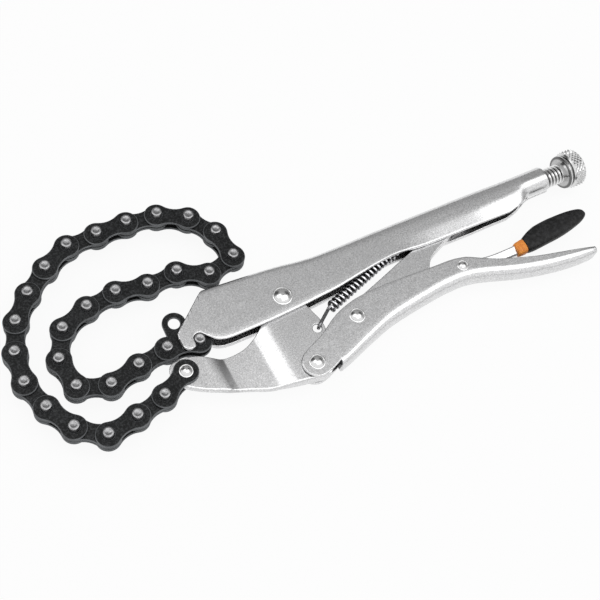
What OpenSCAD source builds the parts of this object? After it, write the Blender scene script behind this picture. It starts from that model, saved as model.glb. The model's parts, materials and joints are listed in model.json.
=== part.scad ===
// Chain oil filter wrench: a double-ply link chain on locking-plier handles.
// The tool lies flat on a table, the chain pins stand upright and +X runs along
// the fixed handle to the adjusting knob. Plan points are measured from the main
// pivot, and the whole assembly is then moved so that its footprint is centred.

/* [Chain] */
// Distance from one chain pin to the next
pitch = 15.875; // [15.5:0.125:16.5]
// Diameter of the chain pins
pin_d = 5.2; // [4.6:0.1:5.6]
// How far a pin stands out of the outer plates
pin_proud = 3.4; // [3:0.1:4]
// Thickness of a chain plate
plate_t = 1.3; // [1.1:0.05:1.4]
// Width of a chain plate round its pin
plate_w = 12.4; // [11.6:0.1:13]
// Width of a chain plate at its waist
waist_w = 8.6; // [7.6:0.1:9.4]
// Gap between neighbouring chain plates
plate_gap = 0.1; // [0.05:0.05:0.2]
// Diameter of the hanging hole in the last link
hang_d = 5.8; // [5:0.1:6.4]
// Room between the inner ply of the chain and the back of the fixed handle
loop_room = 2.1; // [1.8:0.1:4]

/* [Fixed handle] */
// Sheet thickness of the fixed handle
sheet_t = 2; // [1.6:0.1:2.2]
// Room between the chain and each wall of the fixed handle
wall_room = 0.8; // [0.7:0.1:1.2]
// Outer radius of the tube at the rear end
tube_r = 7.5; // [7.3:0.1:8.2]
// Where the tube ends, from the main pivot
tube_end = 165; // [160:1:170]

/* [Jaw and lower handle] */
// Thickness of the pinched tongue that the chain is riveted to
tongue_t = 3.6; // [3.2:0.1:4]
// Sheet thickness of the movable jaw
jaw_t = 1.8; // [1.5:0.1:2]
// Sheet thickness of the lower handle
lower_t = 1.8; // [1.5:0.1:2.2]
// Side clearance of each part that swings between two walls
side_fit = 0.15; // [0.1:0.05:0.3]
// Running clearance of each rivet in its bore
rivet_fit = 0.05; // [0.03:0.01:0.1]

/* [Screw and knob] */
// Outer diameter of the adjusting thread
thread_d = 10.8; // [10:0.1:10.8]
// Diameter of the knurled knob
knob_d = 19.8; // [18:0.2:22]
// Length of the knurled band
knob_len = 7.8; // [7:0.2:10]
// Gap from the tip of the screw to the toggle link
tip_gap = 0.9; // [0.8:0.05:1.5]

/* [Spring] */
// Wire diameter of the return spring
wire_d = 1; // [0.8:0.05:1.1]
// Outside diameter of the spring coils
coil_d = 4.4; // [4:0.1:4.6]
// Number of spring coils
coil_n = 27; // [24:1:28]

/* [Lever] */
// Diameter of the lever rivet
lever_rivet_d = 3.6; // [3:0.1:4]
// Thickness of the lever plate
lever_t = 3; // [2:0.1:4]
// Thickness of the lever grip at its middle
grip_t = 7; // [6:0.1:7.4]

/* [Hidden] */
$fn = 48;
pin_r = pin_d / 2;
press_fit = 0.02;
bush_fit = 0.06;
thread_fit = 0.06;
through = 30;

// Heights from the mid-plane, layer by layer
outer_in = tongue_t / 2 + plate_gap;
outer_out = outer_in + plate_t;
inner_out = outer_in - plate_gap;
inner_in = inner_out - plate_t;
pin_half = outer_out + pin_proud;
chan_in = outer_out + wall_room;
chan_out = chan_in + sheet_t;
jaw_half = chan_in - side_fit;
lower_in = jaw_half + side_fit;
lower_out = lower_in + lower_t;
toggle_room = 0.4;
toggle_half = lower_in - toggle_room;

// Rivet centres in plan, from the main pivot
pivot = [0, 0];
jaw_handle = [-1.2, -38.2];
handle_link = [28.8, -24.8];
lever_pivot = [93, -22.8];
toggle_end = [113, 4.6];
ear_hole = [8.2, -21.8];
anchor = [-59.5, -15.3];
hook_pin = [-46.9, -3.8];
spring_peg = [83, 6.4];
axis_y = 6.1;

// Rivets: shank radii, then the radius and height of each domed head
main_shank_r = 3.6;
side_shank_r = 3;
lever_shank_r = lever_rivet_d / 2;
main_head = [4.6, 1.5];
side_head = [3.9, 1.4];
lever_head = [2.9, 1.1];
anchor_head = [3.4, 1.6];

// Back of the fixed handle at its nose and above the chain's inner ply
nose_back = 21.4;
neck_back = 18.8;

// Chain route: heading of the first link, then the turn at each later pin, in four runs:
// out from the jaw, over to the dip above the handle, back below it and into the hook
first_heading = -154;
out_turns = [-12, -4, -48, -24, -12, -22, -17, -19, -11, -10];
over_turns = [-25, -2, -7, -22, -27, -27, -82, -42];
back_turns = [29, -12, 17, 15, 39, 36, 62, 34];
tail_turns = [-5, -18];
turns = concat(out_turns, over_turns, back_turns, tail_turns);
bend_pin = len(out_turns);
dip_pin = bend_pin + len(over_turns);
tail_pin = dip_pin + len(back_turns);
last_pin = len(turns) + 1;
function turned(n) = n < 1 ? 0 : turns[n - 1] + turned(n - 1);
function aim(a) = [cos(a), sin(a)];
function free_pin(i) = i == 0 ? anchor
    : free_pin(i - 1) + pitch * aim(first_heading + turned(i - 1));
function bearing(v) = atan2(v[1], v[0]);
function spun(v, a) = [v[0] * cos(a) - v[1] * sin(a), v[0] * sin(a) + v[1] * cos(a)];
free_pins = [for (i = [0 : last_pin]) free_pin(i)];

// The tail ends in the hook, and the other runs swing a little so that the dip clears
// the handle and they meet the tail, whatever the pitch
tail_at = hook_pin - (free_pins[last_pin] - free_pins[tail_pin]);
out_arm = free_pins[bend_pin] - anchor;
over_arm = free_pins[dip_pin] - free_pins[bend_pin];
back_arm = free_pins[tail_pin] - free_pins[dip_pin];
dip_y = neck_back + plate_w / 2 + loop_room;
dip_at = [tail_at[0] + sqrt(pow(norm(back_arm), 2) - pow(dip_y - tail_at[1], 2)), dip_y];
span = dip_at - anchor;
bend_side = sign(out_arm[0] * over_arm[1] - out_arm[1] * over_arm[0]);
bend_angle = acos((pow(norm(out_arm), 2) + pow(norm(span), 2) - pow(norm(over_arm), 2))
    / (2 * norm(out_arm) * norm(span)));
out_swing = bearing(span) - bend_side * bend_angle - bearing(out_arm);
bend_at = anchor + spun(out_arm, out_swing);
over_swing = bearing(dip_at - bend_at) - bearing(over_arm);
back_swing = bearing(tail_at - dip_at) - bearing(back_arm);
function placed(i) = i <= bend_pin ? anchor + spun(free_pins[i] - anchor, out_swing)
    : i <= dip_pin ? bend_at + spun(free_pins[i] - free_pins[bend_pin], over_swing)
    : i <= tail_pin ? dip_at + spun(free_pins[i] - free_pins[dip_pin], back_swing)
    : tail_at + free_pins[i] - free_pins[tail_pin];
pins = [for (i = [0 : last_pin]) placed(i)];
function link_heading(i) = bearing(pins[i + 1] - pins[i]);
outer_n = len(pins) / 2;
inner_n = outer_n - 1;

// Screw and knob stations along X
toggle_end_r = 4.5;
screw_tip = toggle_end[0] + toggle_end_r + tip_gap;
thread_in = 13;
thread_out = 12.5;
collar_len = 3.2;
knob_wall = 3;
thread_start = tube_end - thread_in;
collar_start = tube_end + thread_out;
knob_start = collar_start + collar_len;
knob_end = knob_start + knob_len;
neck_r = 3;
neck_end = knob_end - knob_wall;

// Footprint and height of the whole part, to place the frame
lower_tip = [166, -47];
x_low = min([for (p = pins) p[0]]) - plate_w / 2;
x_high = knob_end;
y_low = lower_tip[1];
y_high = max([for (p = pins) p[1]]) + plate_w / 2;
base_z = max(knob_d / 2, pin_half, tube_r);
frame_shift = [-(x_low + x_high) / 2, -(y_low + y_high) / 2, base_z];

function two_digit(k) = str(k < 10 ? "0" : "", k);
tool_nodes = ["fixed_handle", "pivot_rivet", "adjusting_screw", "knurled_knob", "return_spring",
    "movable_jaw", "chain_anchor_rivet", "lower_handle", "handle_rivet", "link_rivet",
    "lever_rivet", "toggle_link", "release_lever", "lever_grip", "grip_band"];

steel = [0.76, 0.77, 0.78];
dark_steel = [0.2, 0.2, 0.21];
pin_steel = [0.66, 0.66, 0.66];
spring_steel = [0.3, 0.3, 0.31];
grip_black = [0.08, 0.08, 0.08];
band_orange = [0.9, 0.38, 0.1];

// Placing helpers
module placed_part(c) {
    color(c) translate(frame_shift) children();
}

module post(p, r, half) {
    translate([p[0], p[1], -half]) cylinder(r = r, h = 2 * half);
}

module along_x(x0, x1, r0, r1) {
    translate([x0, axis_y, 0]) rotate([0, 90, 0]) cylinder(r1 = r0, r2 = r1, h = x1 - x0);
}

module slab(half, outline) {
    translate([0, 0, -half]) linear_extrude(2 * half) polygon(outline);
}

// A rivet: a plain shank and a stepped dome outside each wall
module rivet(p, shank_r, wall, head) {
    rim_h = head[1] * 0.4;
    shoulder_h = head[1] * 0.35;
    crown_h = head[1] * 0.25;
    shoulder_r = head[0] * 0.82;
    crown_r = head[0] * 0.45;
    post(p, shank_r, wall + press_fit);
    for (s = [0, 1]) translate([p[0], p[1], 0]) mirror([0, 0, s]) translate([0, 0, wall]) {
        cylinder(r = head[0], h = rim_h);
        translate([0, 0, rim_h]) cylinder(r1 = head[0], r2 = shoulder_r, h = shoulder_h);
        translate([0, 0, rim_h + shoulder_h]) cylinder(r1 = shoulder_r, r2 = crown_r, h = crown_h);
    }
}

// Skin over rings of points; channel rings are capped wall by wall, round ones as a fan
module skin(rings, channel) {
    n = len(rings[0]);
    m = len(rings);
    h = n / 2;
    last = (m - 1) * n;
    pts = [for (r = rings) for (p = r) p];
    sides = [for (i = [0 : m - 2]) for (j = [0 : n - 1])
        let (a = i * n + j, b = i * n + (j + 1) % n)
        each [[a, b, b + n], [a, b + n, a + n]]];
    wall_caps = [for (j = [0 : h - 2]) let (k = n - 1 - j)
        each [[j, k, k - 1], [j, k - 1, j + 1],
            [last + j, last + k - 1, last + k], [last + j, last + j + 1, last + k - 1]]];
    fan_caps = [for (j = [1 : n - 2]) each [[0, j + 1, j], [last, last + j, last + j + 1]]];
    polyhedron(pts, concat(sides, channel ? wall_caps : fan_caps));
}

// One half of a channel section from its crown to the end of its wall, as [depth, side].
// roll 0 leaves a straight wall of the given depth, roll 1 rolls the wall into a tube.
rolled_angle = 86;
wall_steps = 6;
least_inner_r = 0.7;
function half_section(w, rc, depth, roll) = concat(
    [for (a = [90 : -15 : 0]) [rc - rc * sin(a), w - rc + rc * cos(a)]],
    [for (i = [1 : wall_steps]) let (s = i / wall_steps)
        (1 - roll) * [rc + (depth - rc) * s, w]
        + roll * [rc + rc * sin(rolled_angle * s), w - rc + rc * cos(rolled_angle * s)]]);
function backwards(v) = [for (i = [len(v) - 1 : -1 : 0]) v[i]];
function mirrored(v) = [for (p = v) [p[0], -p[1]]];

// Station list: x, crown height, wall edge height, half width, corner radius, roll
function channel_ring(st, t, up) =
    let (depth = abs(st[1] - st[2]),
        o = half_section(st[3], st[4], depth, st[5]),
        i = half_section(st[3] - t, max(st[4] - t, least_inner_r), depth - t, st[5]),
        out = concat(backwards(mirrored(o)), o),
        inn = [for (p = concat(backwards(i), mirrored(i))) [p[0] + t, p[1]]],
        loop = backwards(concat(out, inn)))
    [for (p = loop) [st[0], st[1] - up * p[0], up * p[1]]];

// Fixed handle: a deep channel at the front that rolls into a tube at the rear
tube_top = axis_y + tube_r;
handle_stations = [
    [-60, nose_back, -12, chan_out, 3.2, 0],
    [-20, neck_back, -12, chan_out, 3.2, 0],
    [4, 16.8, -12, chan_out, 3.4, 0],
    [16, 15.2, -9.2, chan_out, 3.8, 0],
    [26, 14.4, -7.6, chan_out, 4.2, 0],
    [40, 14.5, -5.6, chan_out, 4.8, 0],
    [54, 14.7, -3.6, chan_out, chan_out - 0.8, 0],
    [64, 14.8, -2.8, chan_out, chan_out - 0.6, 0],
    [72, 14.8, -3.3, chan_out + 0.1, chan_out - 0.5, 0],
    [80, 14.7, -4.2, chan_out + 0.1, chan_out - 0.4, 0],
    [100, 14.5, -4.9, chan_out + 0.2, chan_out - 0.3, 0],
    [122, tube_top + 0.6, -5.4, chan_out + 0.3, chan_out - 0.2, 0],
    [130, tube_top + 0.4, -5.4, chan_out + 0.4, chan_out - 0.1, 0.04],
    [136, tube_top + 0.2, -5, chan_out + 0.6, chan_out + 0.1, 0.2],
    [142, tube_top + 0.1, -4, (chan_out + 0.8 + tube_r) / 2, (chan_out + 0.2 + tube_r) / 2, 0.55],
    [147, tube_top, -2.6, tube_r - 0.2, tube_r - 0.7, 0.88],
    [151, tube_top, -1.2, tube_r, tube_r - 0.4, 1],
    [tube_end, tube_top, -1.2, tube_r, tube_r - 0.4, 1]];
notch_r = pin_r + 0.3;
lobe_r = 4;
lobe = [-notch_r - 2.4, 0.6];
side_outline = [[250, 60], [11.6, 60], [11.6, 23.2], [lobe[0] - 3.2, 6.8], [lobe[0] - lobe_r, 3.8],
    [lobe[0] - lobe_r, lobe[1]], [lobe[0], -0.4], [3.6, -0.4], [6.5, -3], [9, -4.6], [14.2, -5.8],
    [30, -5.9], [56, -5], [72.5, -3.8], [100, -3], [250, -3]];
nut_in = 14;
nut_set_back = 0.4;
nut_start = tube_end - nut_in;
nut_end = tube_end - nut_set_back;
nut_wall = 1;
peg_r = 1.5;
peg_sunk = 0.5;

// Side view of the fixed handle, from the pin in its hook
module hook_blank() {
    translate([hook_pin[0], hook_pin[1], 0]) difference() {
        union() {
            slab(through, side_outline);
            post(lobe, lobe_r, through);
        }
        post([0, 0], notch_r, 2 * through);
        translate([-notch_r, -through, -2 * through]) cube([2 * notch_r, through, 4 * through]);
    }
}

module fixed_handle() {
    bore_r = thread_d / 2 + thread_fit;
    placed_part(steel) difference() {
        union() {
            intersection() {
                skin([for (st = handle_stations) channel_ring(st, sheet_t, 1)], true);
                hook_blank();
            }
            along_x(nut_start, nut_end, tube_r - nut_wall, tube_r - nut_wall);
            post(spring_peg, peg_r, chan_in + peg_sunk);
        }
        post(pivot, main_shank_r + rivet_fit, through);
        along_x(nut_start - 1, tube_end + 1, bore_r, bore_r);
    }
}

module pivot_rivet() {
    placed_part(steel) rivet(pivot, main_shank_r, chan_out, main_head);
}

// Adjusting screw: a slim nose, the thread and the neck inside the knob
nose_r = 3.4;
tip_r = 2.4;
tip_len = 1.2;
thread_lead = 1;

module adjusting_screw() {
    placed_part(steel) {
        along_x(screw_tip, screw_tip + tip_len, tip_r, nose_r);
        along_x(screw_tip + tip_len, thread_start, nose_r, nose_r);
        along_x(thread_start, thread_start + thread_lead, thread_d / 2 - thread_lead, thread_d / 2);
        along_x(thread_start + thread_lead, collar_start, thread_d / 2, thread_d / 2);
        along_x(collar_start - 0.5, neck_end, neck_r, neck_r);
    }
}

// Knob: a dished collar, a groove and the band that is knurled
collar_r = knob_d / 2 - 0.7;
collar_edge = 0.9;
knob_edge = 0.8;
groove_w = 0.8;
dish_depth = 0.6;
end_play = 0.1;

module knurled_knob() {
    neck_bore_r = neck_r + rivet_fit;
    placed_part(steel) difference() {
        union() {
            along_x(collar_start + end_play, collar_start + collar_edge, collar_r - dish_depth, collar_r);
            along_x(collar_start + collar_edge, knob_start - groove_w, collar_r, collar_r);
            along_x(knob_start - groove_w, knob_start, collar_r - collar_edge, collar_r - collar_edge);
            along_x(knob_start, knob_start + knob_edge, knob_d / 2 - knob_edge, knob_d / 2);
            along_x(knob_start + knob_edge, knob_end - knob_edge, knob_d / 2, knob_d / 2);
            along_x(knob_end - knob_edge, knob_end, knob_d / 2, knob_d / 2 - knob_edge);
        }
        along_x(collar_start - 1, neck_end + end_play, neck_bore_r, neck_bore_r);
        along_x(collar_start, collar_start + dish_depth, collar_r - 1.6, collar_r - 2.2);
    }
}

// Return spring: one unbroken tube from the ear hole, through the coils, to the peg
coil_from = [20.6, -13.6];
coil_to = [69, 1.9];
coil_len = norm(coil_to - coil_from);
coil_pitch = coil_len / coil_n;
coil_dir = (coil_to - coil_from) / coil_len;
coil_nor = [-coil_dir[1], coil_dir[0]];
coil_mean = (coil_d - wire_d) / 2;
ear_play = 0.25;
ear_top = jaw_half + wire_d / 2 + ear_play;
hook_at = ear_hole + [1.2, 0.4];
rings_per_coil = 8;
function unit(v) = v / norm(v);
function coil_point(u) =
    let (a = 360 * u + 90, p = coil_from + coil_dir * (u * coil_pitch)
        + coil_nor * (coil_mean * cos(a)))
    [p[0], p[1], coil_mean * sin(a)];
hook_top = [hook_at[0], hook_at[1], ear_top];
lead_aim = unit([coil_from[0] - hook_at[0], coil_from[1] - hook_at[1], 0]);
lead_in = [hook_top + lead_aim * 2, hook_top + lead_aim * 6, hook_top + lead_aim * 6.8];
front_end = [[hook_at[0], hook_at[1], ear_top - wire_d - 0.9],
    [hook_at[0], hook_at[1], ear_top - 0.35],
    [hook_at[0] + 0.25, hook_at[1] + 0.15, ear_top]];
coil_run = [for (i = [0 : coil_n * rings_per_coil]) coil_point(i / rings_per_coil)];
peg_touch = [spring_peg[0] - peg_r, spring_peg[1], 0];
tail = [peg_touch + [-wire_d * 1.6, 0, 0], peg_touch + [-press_fit, 0, 0]];
wire_path = concat(front_end, lead_in, coil_run, tail);
function along(p, i) = unit(p[min(i + 1, len(p) - 1)] - p[max(i - 1, 0)]);
function carried(n, t) = unit(n - (n * t) * t);
function frames(p, i, n) = let (k = carried(n, along(p, i)))
    i == len(p) - 1 ? [k] : concat([k], frames(p, i + 1, k));
wire_norms = frames(wire_path, 0, [0.6, 0.8, 0]);
wire_rings = [for (i = [0 : len(wire_path) - 1]) let (t = along(wire_path, i),
    u = wire_norms[i], v = cross(t, u))
    [for (a = [0 : 60 : 300]) wire_path[i] + (wire_d / 2) * (u * cos(a) + v * sin(a))]];
coil_gap = norm(coil_point(1) - coil_point(0)) - wire_d;
echo(least_gap_between_coils = coil_gap);

module return_spring() {
    placed_part(spring_steel) skin(wire_rings, false);
}

// Movable jaw: a folded sheet, wide at the rivets and pinched flat at the tongue
tongue_r = 7.2;
pivot_eye_r = 8.4;
ear_r = 4;
ear_bore_r = 2.3;
heel_r = 7.4;
pinch_start = -43;
hollow_start = -41;
pinch_end = -25;
jaw_outline = [[-57.5, -8.6], [-50.2, -10], [-45.5, -13.6], [-41, -16.6], [-34, -17], [-27.7, -16],
    [-20.3, -12.2], [-14, -7], [-7.5, 3.6], [7, 4.6], [9.2, -8.1], [10.1, -11.5],
    ear_hole + [ear_r, -0.8], [5.6, -27], [6, -38.2], [-1.2, -45.5], [-11, -43.6],
    [-27, -40.6], [-36, -36.5], [-42, -34.2], [-56, -27.2], [-62.4, -22.8], [-65.4, -19.4]];
hollow_outline = [[-46, 30], [-46, -27], [-42, -32.2], [-36, -34.4], [-27, -38.6], [-11, -41.7],
    [-1.2, -43.4], [40, -43.4], [40, 30]];
// The spring's ear is on the upper wall alone, so the far wall is cut back past it
far_wall_cut = [[10.1, -11.5], [5.6, -27], ear_hole + [2 * ear_r, -5.2], ear_hole + [2 * ear_r, 10.3]];

module jaw_blank() {
    slab(through, jaw_outline);
    post(anchor, tongue_r, through);
    post(pivot, pivot_eye_r, through);
    post(ear_hole, ear_r, through);
    post(jaw_handle, heel_r, through);
}

// The jaw's thickness along X: half_front up to x0, then widening to half_rear at x1
module across(half_front, half_rear, x0, x1) {
    far_front = -90;
    far_rear = 60;
    rotate([90, 0, 0]) translate([0, 0, -2 * through]) linear_extrude(4 * through)
        polygon([[far_front, -half_front], [x0, -half_front], [x1, -half_rear], [far_rear, -half_rear],
            [far_rear, half_rear], [x1, half_rear], [x0, half_front], [far_front, half_front]]);
}

module movable_jaw() {
    placed_part(steel) difference() {
        intersection() {
            union() jaw_blank();
            across(tongue_t / 2, jaw_half, pinch_start, pinch_end);
        }
        intersection() {
            slab(through, hollow_outline);
            across(0.01, jaw_half - jaw_t, hollow_start, pinch_end);
            translate([hollow_start, -4 * through, -through]) cube([8 * through, 8 * through, 2 * through]);
        }
        post(anchor, pin_r + rivet_fit, through);
        post(pivot, main_shank_r + rivet_fit, through);
        post(jaw_handle, side_shank_r + rivet_fit, through);
        translate([0, 0, -2 * through]) linear_extrude(2 * through) polygon(far_wall_cut);
        translate([ear_hole[0], ear_hole[1], 0]) cylinder(r = ear_bore_r, h = through);
    }
}

module chain_anchor_rivet() {
    placed_part(pin_steel) rivet(anchor, pin_r, outer_out, anchor_head);
}

// Lower handle: a channel with its round back downwards, and two flat ears at the jaw
lower_stations = [
    [9, -45.4, -26, lower_out, 3.2, 0],
    [16, -43.6, -21.6, lower_out, 3.4, 0],
    [24, -41, -18.2, lower_out, 3.8, 0],
    [34, -37.9, -16, lower_out, 4.2, 0],
    [44, -35.1, -15.4, lower_out, 4.6, 0],
    [56, -33.2, -15.6, lower_out, 4.8, 0],
    [68, -31.8, -16.2, lower_out, 4.8, 0],
    [80, -30.7, -16.9, lower_out, 4.8, 0],
    [88, -30.6, -17.2, lower_out, 4.8, 0],
    [96, -31.6, -18.6, lower_out, 4.8, 0],
    [104, -33.8, -22.6, lower_out, 4.8, 0],
    [112, -36.6, -26.6, lower_out, 4.8, 0],
    [122, -39.8, -30.4, lower_out, 4.8, 0],
    [134, -42.8, -33.9, lower_out, 4.6, 0],
    [146, -45, -37.3, lower_out - 0.2, 4.4, 0],
    [156, -46.3, -40.3, lower_out - 0.6, 4, 0],
    [162, -46.8, -42.2, lower_out - 1.2, 3.4, 0],
    [lower_tip[0], lower_tip[1], -44, lower_out - 2.2, 2.4, 0]];
lower_ear_outline = [[-7.4, -34.2], [9, -26.4], [14, -23.4], [14, -40], [5, -43.6], [-1.2, -45.5]];
web_end = 10.2;
web_cut = 15.2;
web_relief = [8.2, -45.4];
web_relief_r = 2.4;

module lower_ear() {
    translate([0, 0, lower_in]) linear_extrude(lower_t) polygon(lower_ear_outline);
    translate([jaw_handle[0], jaw_handle[1], lower_in]) cylinder(r = heel_r, h = lower_t);
}

module lower_handle() {
    placed_part(steel) difference() {
        union() {
            skin([for (st = lower_stations) channel_ring(st, lower_t, -1)], true);
            for (s = [0, 1]) mirror([0, 0, s]) lower_ear();
        }
        post(jaw_handle, side_shank_r + rivet_fit, through);
        post(handle_link, side_shank_r + rivet_fit, through);
        post(lever_pivot, lever_shank_r + rivet_fit, through);
        post(web_relief, web_relief_r, through);
        translate([web_end - web_cut, -2 * through, -lower_in]) cube([web_cut, 2 * through, 2 * lower_in]);
    }
}

module handle_rivet() {
    placed_part(steel) rivet(jaw_handle, side_shank_r, lower_out, side_head);
}

module link_rivet() {
    placed_part(steel) rivet(handle_link, side_shank_r, lower_out, side_head);
}

module lever_rivet() {
    placed_part(steel) rivet(lever_pivot, lever_shank_r, lower_out, lever_head);
}

// Toggle link: a flat link from the lower handle to the tip of the screw
toggle_eye_r = 6;
toggle_outline = [[25.4, -19.8], [38, -15], [54, -10], [68, -5.4], [90, 1.8], [111.2, 8.7],
    [114.8, 0.5], [104, -1.8], [97, -4.6], [89.5, -7.4], [83, -10.4], [79.6, -13],
    [77.6, -16.4], [70, -19.4], [55, -23.2], [44, -27.4], [31, -30.4]];

module toggle_link() {
    placed_part(steel) difference() {
        union() {
            post(handle_link, toggle_eye_r, toggle_half);
            post(toggle_end, toggle_end_r, toggle_half);
            slab(toggle_half, toggle_outline);
        }
        post(handle_link, side_shank_r + rivet_fit, through);
    }
}

// Release lever: a plate with a hub between the walls of the lower handle
hub_r = 4.4;
hub_play = 0.3;
tang_outline = [[127, -22.5], [130, -22.3], [150, -20.4], [150, -24.2], [130, -27.4], [127, -27.6]];
blade_outline = [[127, -27.6], [112, -27.4], [98, -27.4], [90, -27.2], [84, -23.4], [81, -20.2],
    [86, -18.8], [93, -18.4], [101, -20.4], [112, -22.4], [127, -22.5]];
lever_outline = concat(blade_outline, [for (i = [1 : len(tang_outline) - 2]) tang_outline[i]]);

module release_lever() {
    placed_part(steel) difference() {
        union() {
            slab(lever_t / 2, lever_outline);
            post(lever_pivot, hub_r, lower_in - hub_play);
        }
        post(lever_pivot, lever_shank_r + rivet_fit, through);
    }
}

// Grip stations: x, centre height, half width, half thickness as a share of the middle
grip_stations = [
    [133, -24.6, 3.9, 0.86], [135.5, -24.1, 4.7, 0.92], [139, -23.4, 5.4, 0.97], [144, -22.6, 5.9, 1],
    [151, -22.1, 6, 1], [157, -21.8, 5.7, 1], [163, -21.4, 5.1, 0.98], [168, -21.1, 4.3, 0.93],
    [172, -20.9, 3.3, 0.8], [174.2, -20.8, 2.2, 0.6], [175.4, -20.8, 1, 0.3]];
band_stations = [[127, -25.1, 3, 0.74], [128, -25, 3.5, 0.82], [132, -24.7, 3.9, 0.86],
    [132.9, -24.6, 3.5, 0.8]];
oval_power = 0.8;
function oval(c) = sign(c) * pow(abs(c), oval_power);
function oval_ring(st) = [for (a = [0 : 15 : 345])
    [st[0], st[1] + st[2] * oval(cos(a)), st[3] * grip_t / 2 * oval(sin(a))]];

tang_lead = [7, 0];

module lever_tang() {
    slab(lever_t / 2, concat(tang_outline, [tang_outline[5] - tang_lead, tang_outline[0] - tang_lead]));
}

module lever_grip() {
    placed_part(grip_black) difference() {
        skin([for (st = grip_stations) oval_ring(st)], false);
        lever_tang();
    }
}

module grip_band() {
    placed_part(band_orange) difference() {
        skin([for (st = band_stations) oval_ring(st)], false);
        lever_tang();
    }
}

// Chain plates: two round ends and a waist, and an ear with a hole on the last link's upper plate
hang_at = [pitch / 2 - 1.4, plate_w / 2 + 5.6];
hang_rim = 3;
bush_wall = 1.2;
pin_chamfer = 0.4;

module plate_outline() {
    r = plate_w / 2;
    h = waist_w / 2;
    f = (pow(pitch / 2, 2) + h * h - r * r) / (2 * (r - h));
    tx = r * (pitch / 2) / (r + f);
    ty = r * (h + f) / (r + f);
    circle(r = r);
    translate([pitch, 0]) circle(r = r);
    difference() {
        translate([tx, -ty]) square([pitch - 2 * tx, 2 * ty]);
        for (s = [-1, 1]) translate([pitch / 2, s * (h + f)]) circle(r = f);
    }
}

module hang_outline() {
    ear_round = hang_d / 2 + hang_rim;
    plate_outline();
    difference() {
        hull() {
            translate(hang_at) circle(r = ear_round);
            translate([pitch / 2, 0]) circle(r = ear_round);
        }
        translate(hang_at) circle(r = hang_d / 2);
    }
}

module at_link(i) {
    translate([pins[i][0], pins[i][1], 0]) rotate(link_heading(i)) children();
}

module outer_link(k) {
    i = 2 * (k - 1);
    placed_part(dark_steel) at_link(i) for (s = [0, 1]) mirror([0, 0, s]) difference() {
        translate([0, 0, outer_in]) linear_extrude(plate_t) {
            if (k == outer_n && s == 0) hang_outline();
            else plate_outline();
        }
        for (x = [0, pitch]) post([x, 0], pin_r + press_fit, through);
    }
}

module link_pins(k) {
    i = 2 * (k - 1);
    straight = pin_half - pin_chamfer;
    placed_part(pin_steel) at_link(i) for (x = k == 1 ? [pitch] : [0, pitch]) {
        post([x, 0], pin_r, straight);
        for (s = [0, 1]) mirror([0, 0, s]) translate([x, 0, straight])
            cylinder(r1 = pin_r, r2 = pin_r - pin_chamfer, h = pin_chamfer);
    }
}

module inner_link(k) {
    i = 2 * k - 1;
    placed_part(dark_steel) at_link(i) difference() {
        union() {
            for (s = [0, 1]) mirror([0, 0, s]) translate([0, 0, inner_in])
                linear_extrude(plate_t) plate_outline();
            for (x = [0, pitch]) post([x, 0], pin_r + bush_wall, inner_in + plate_gap);
        }
        for (x = [0, pitch]) post([x, 0], pin_r + bush_fit, through);
    }
}

fixed_handle();
pivot_rivet();
adjusting_screw();
knurled_knob();
return_spring();
movable_jaw();
chain_anchor_rivet();
lower_handle();
handle_rivet();
link_rivet();
lever_rivet();
toggle_link();
release_lever();
lever_grip();
grip_band();
for (k = [1 : outer_n]) {
    outer_link(k);
    link_pins(k);
}
for (k = [1 : inner_n])
    inner_link(k);
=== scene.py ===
"""Chain oil filter wrench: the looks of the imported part.

Pressed handles, domed rivets, a cut thread, a knurled knob and a bevelled roller chain are modelled
around the loaded frame. The file is laid out as an add-on and is run as a script.
Shapes are worked out in millimetres from the main pivot, and moved into the frame when finished.
"""

import json
import math

import bmesh
import bpy
from bpy.props import FloatProperty, FloatVectorProperty, IntProperty, PointerProperty
from mathutils import Matrix, Vector

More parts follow.
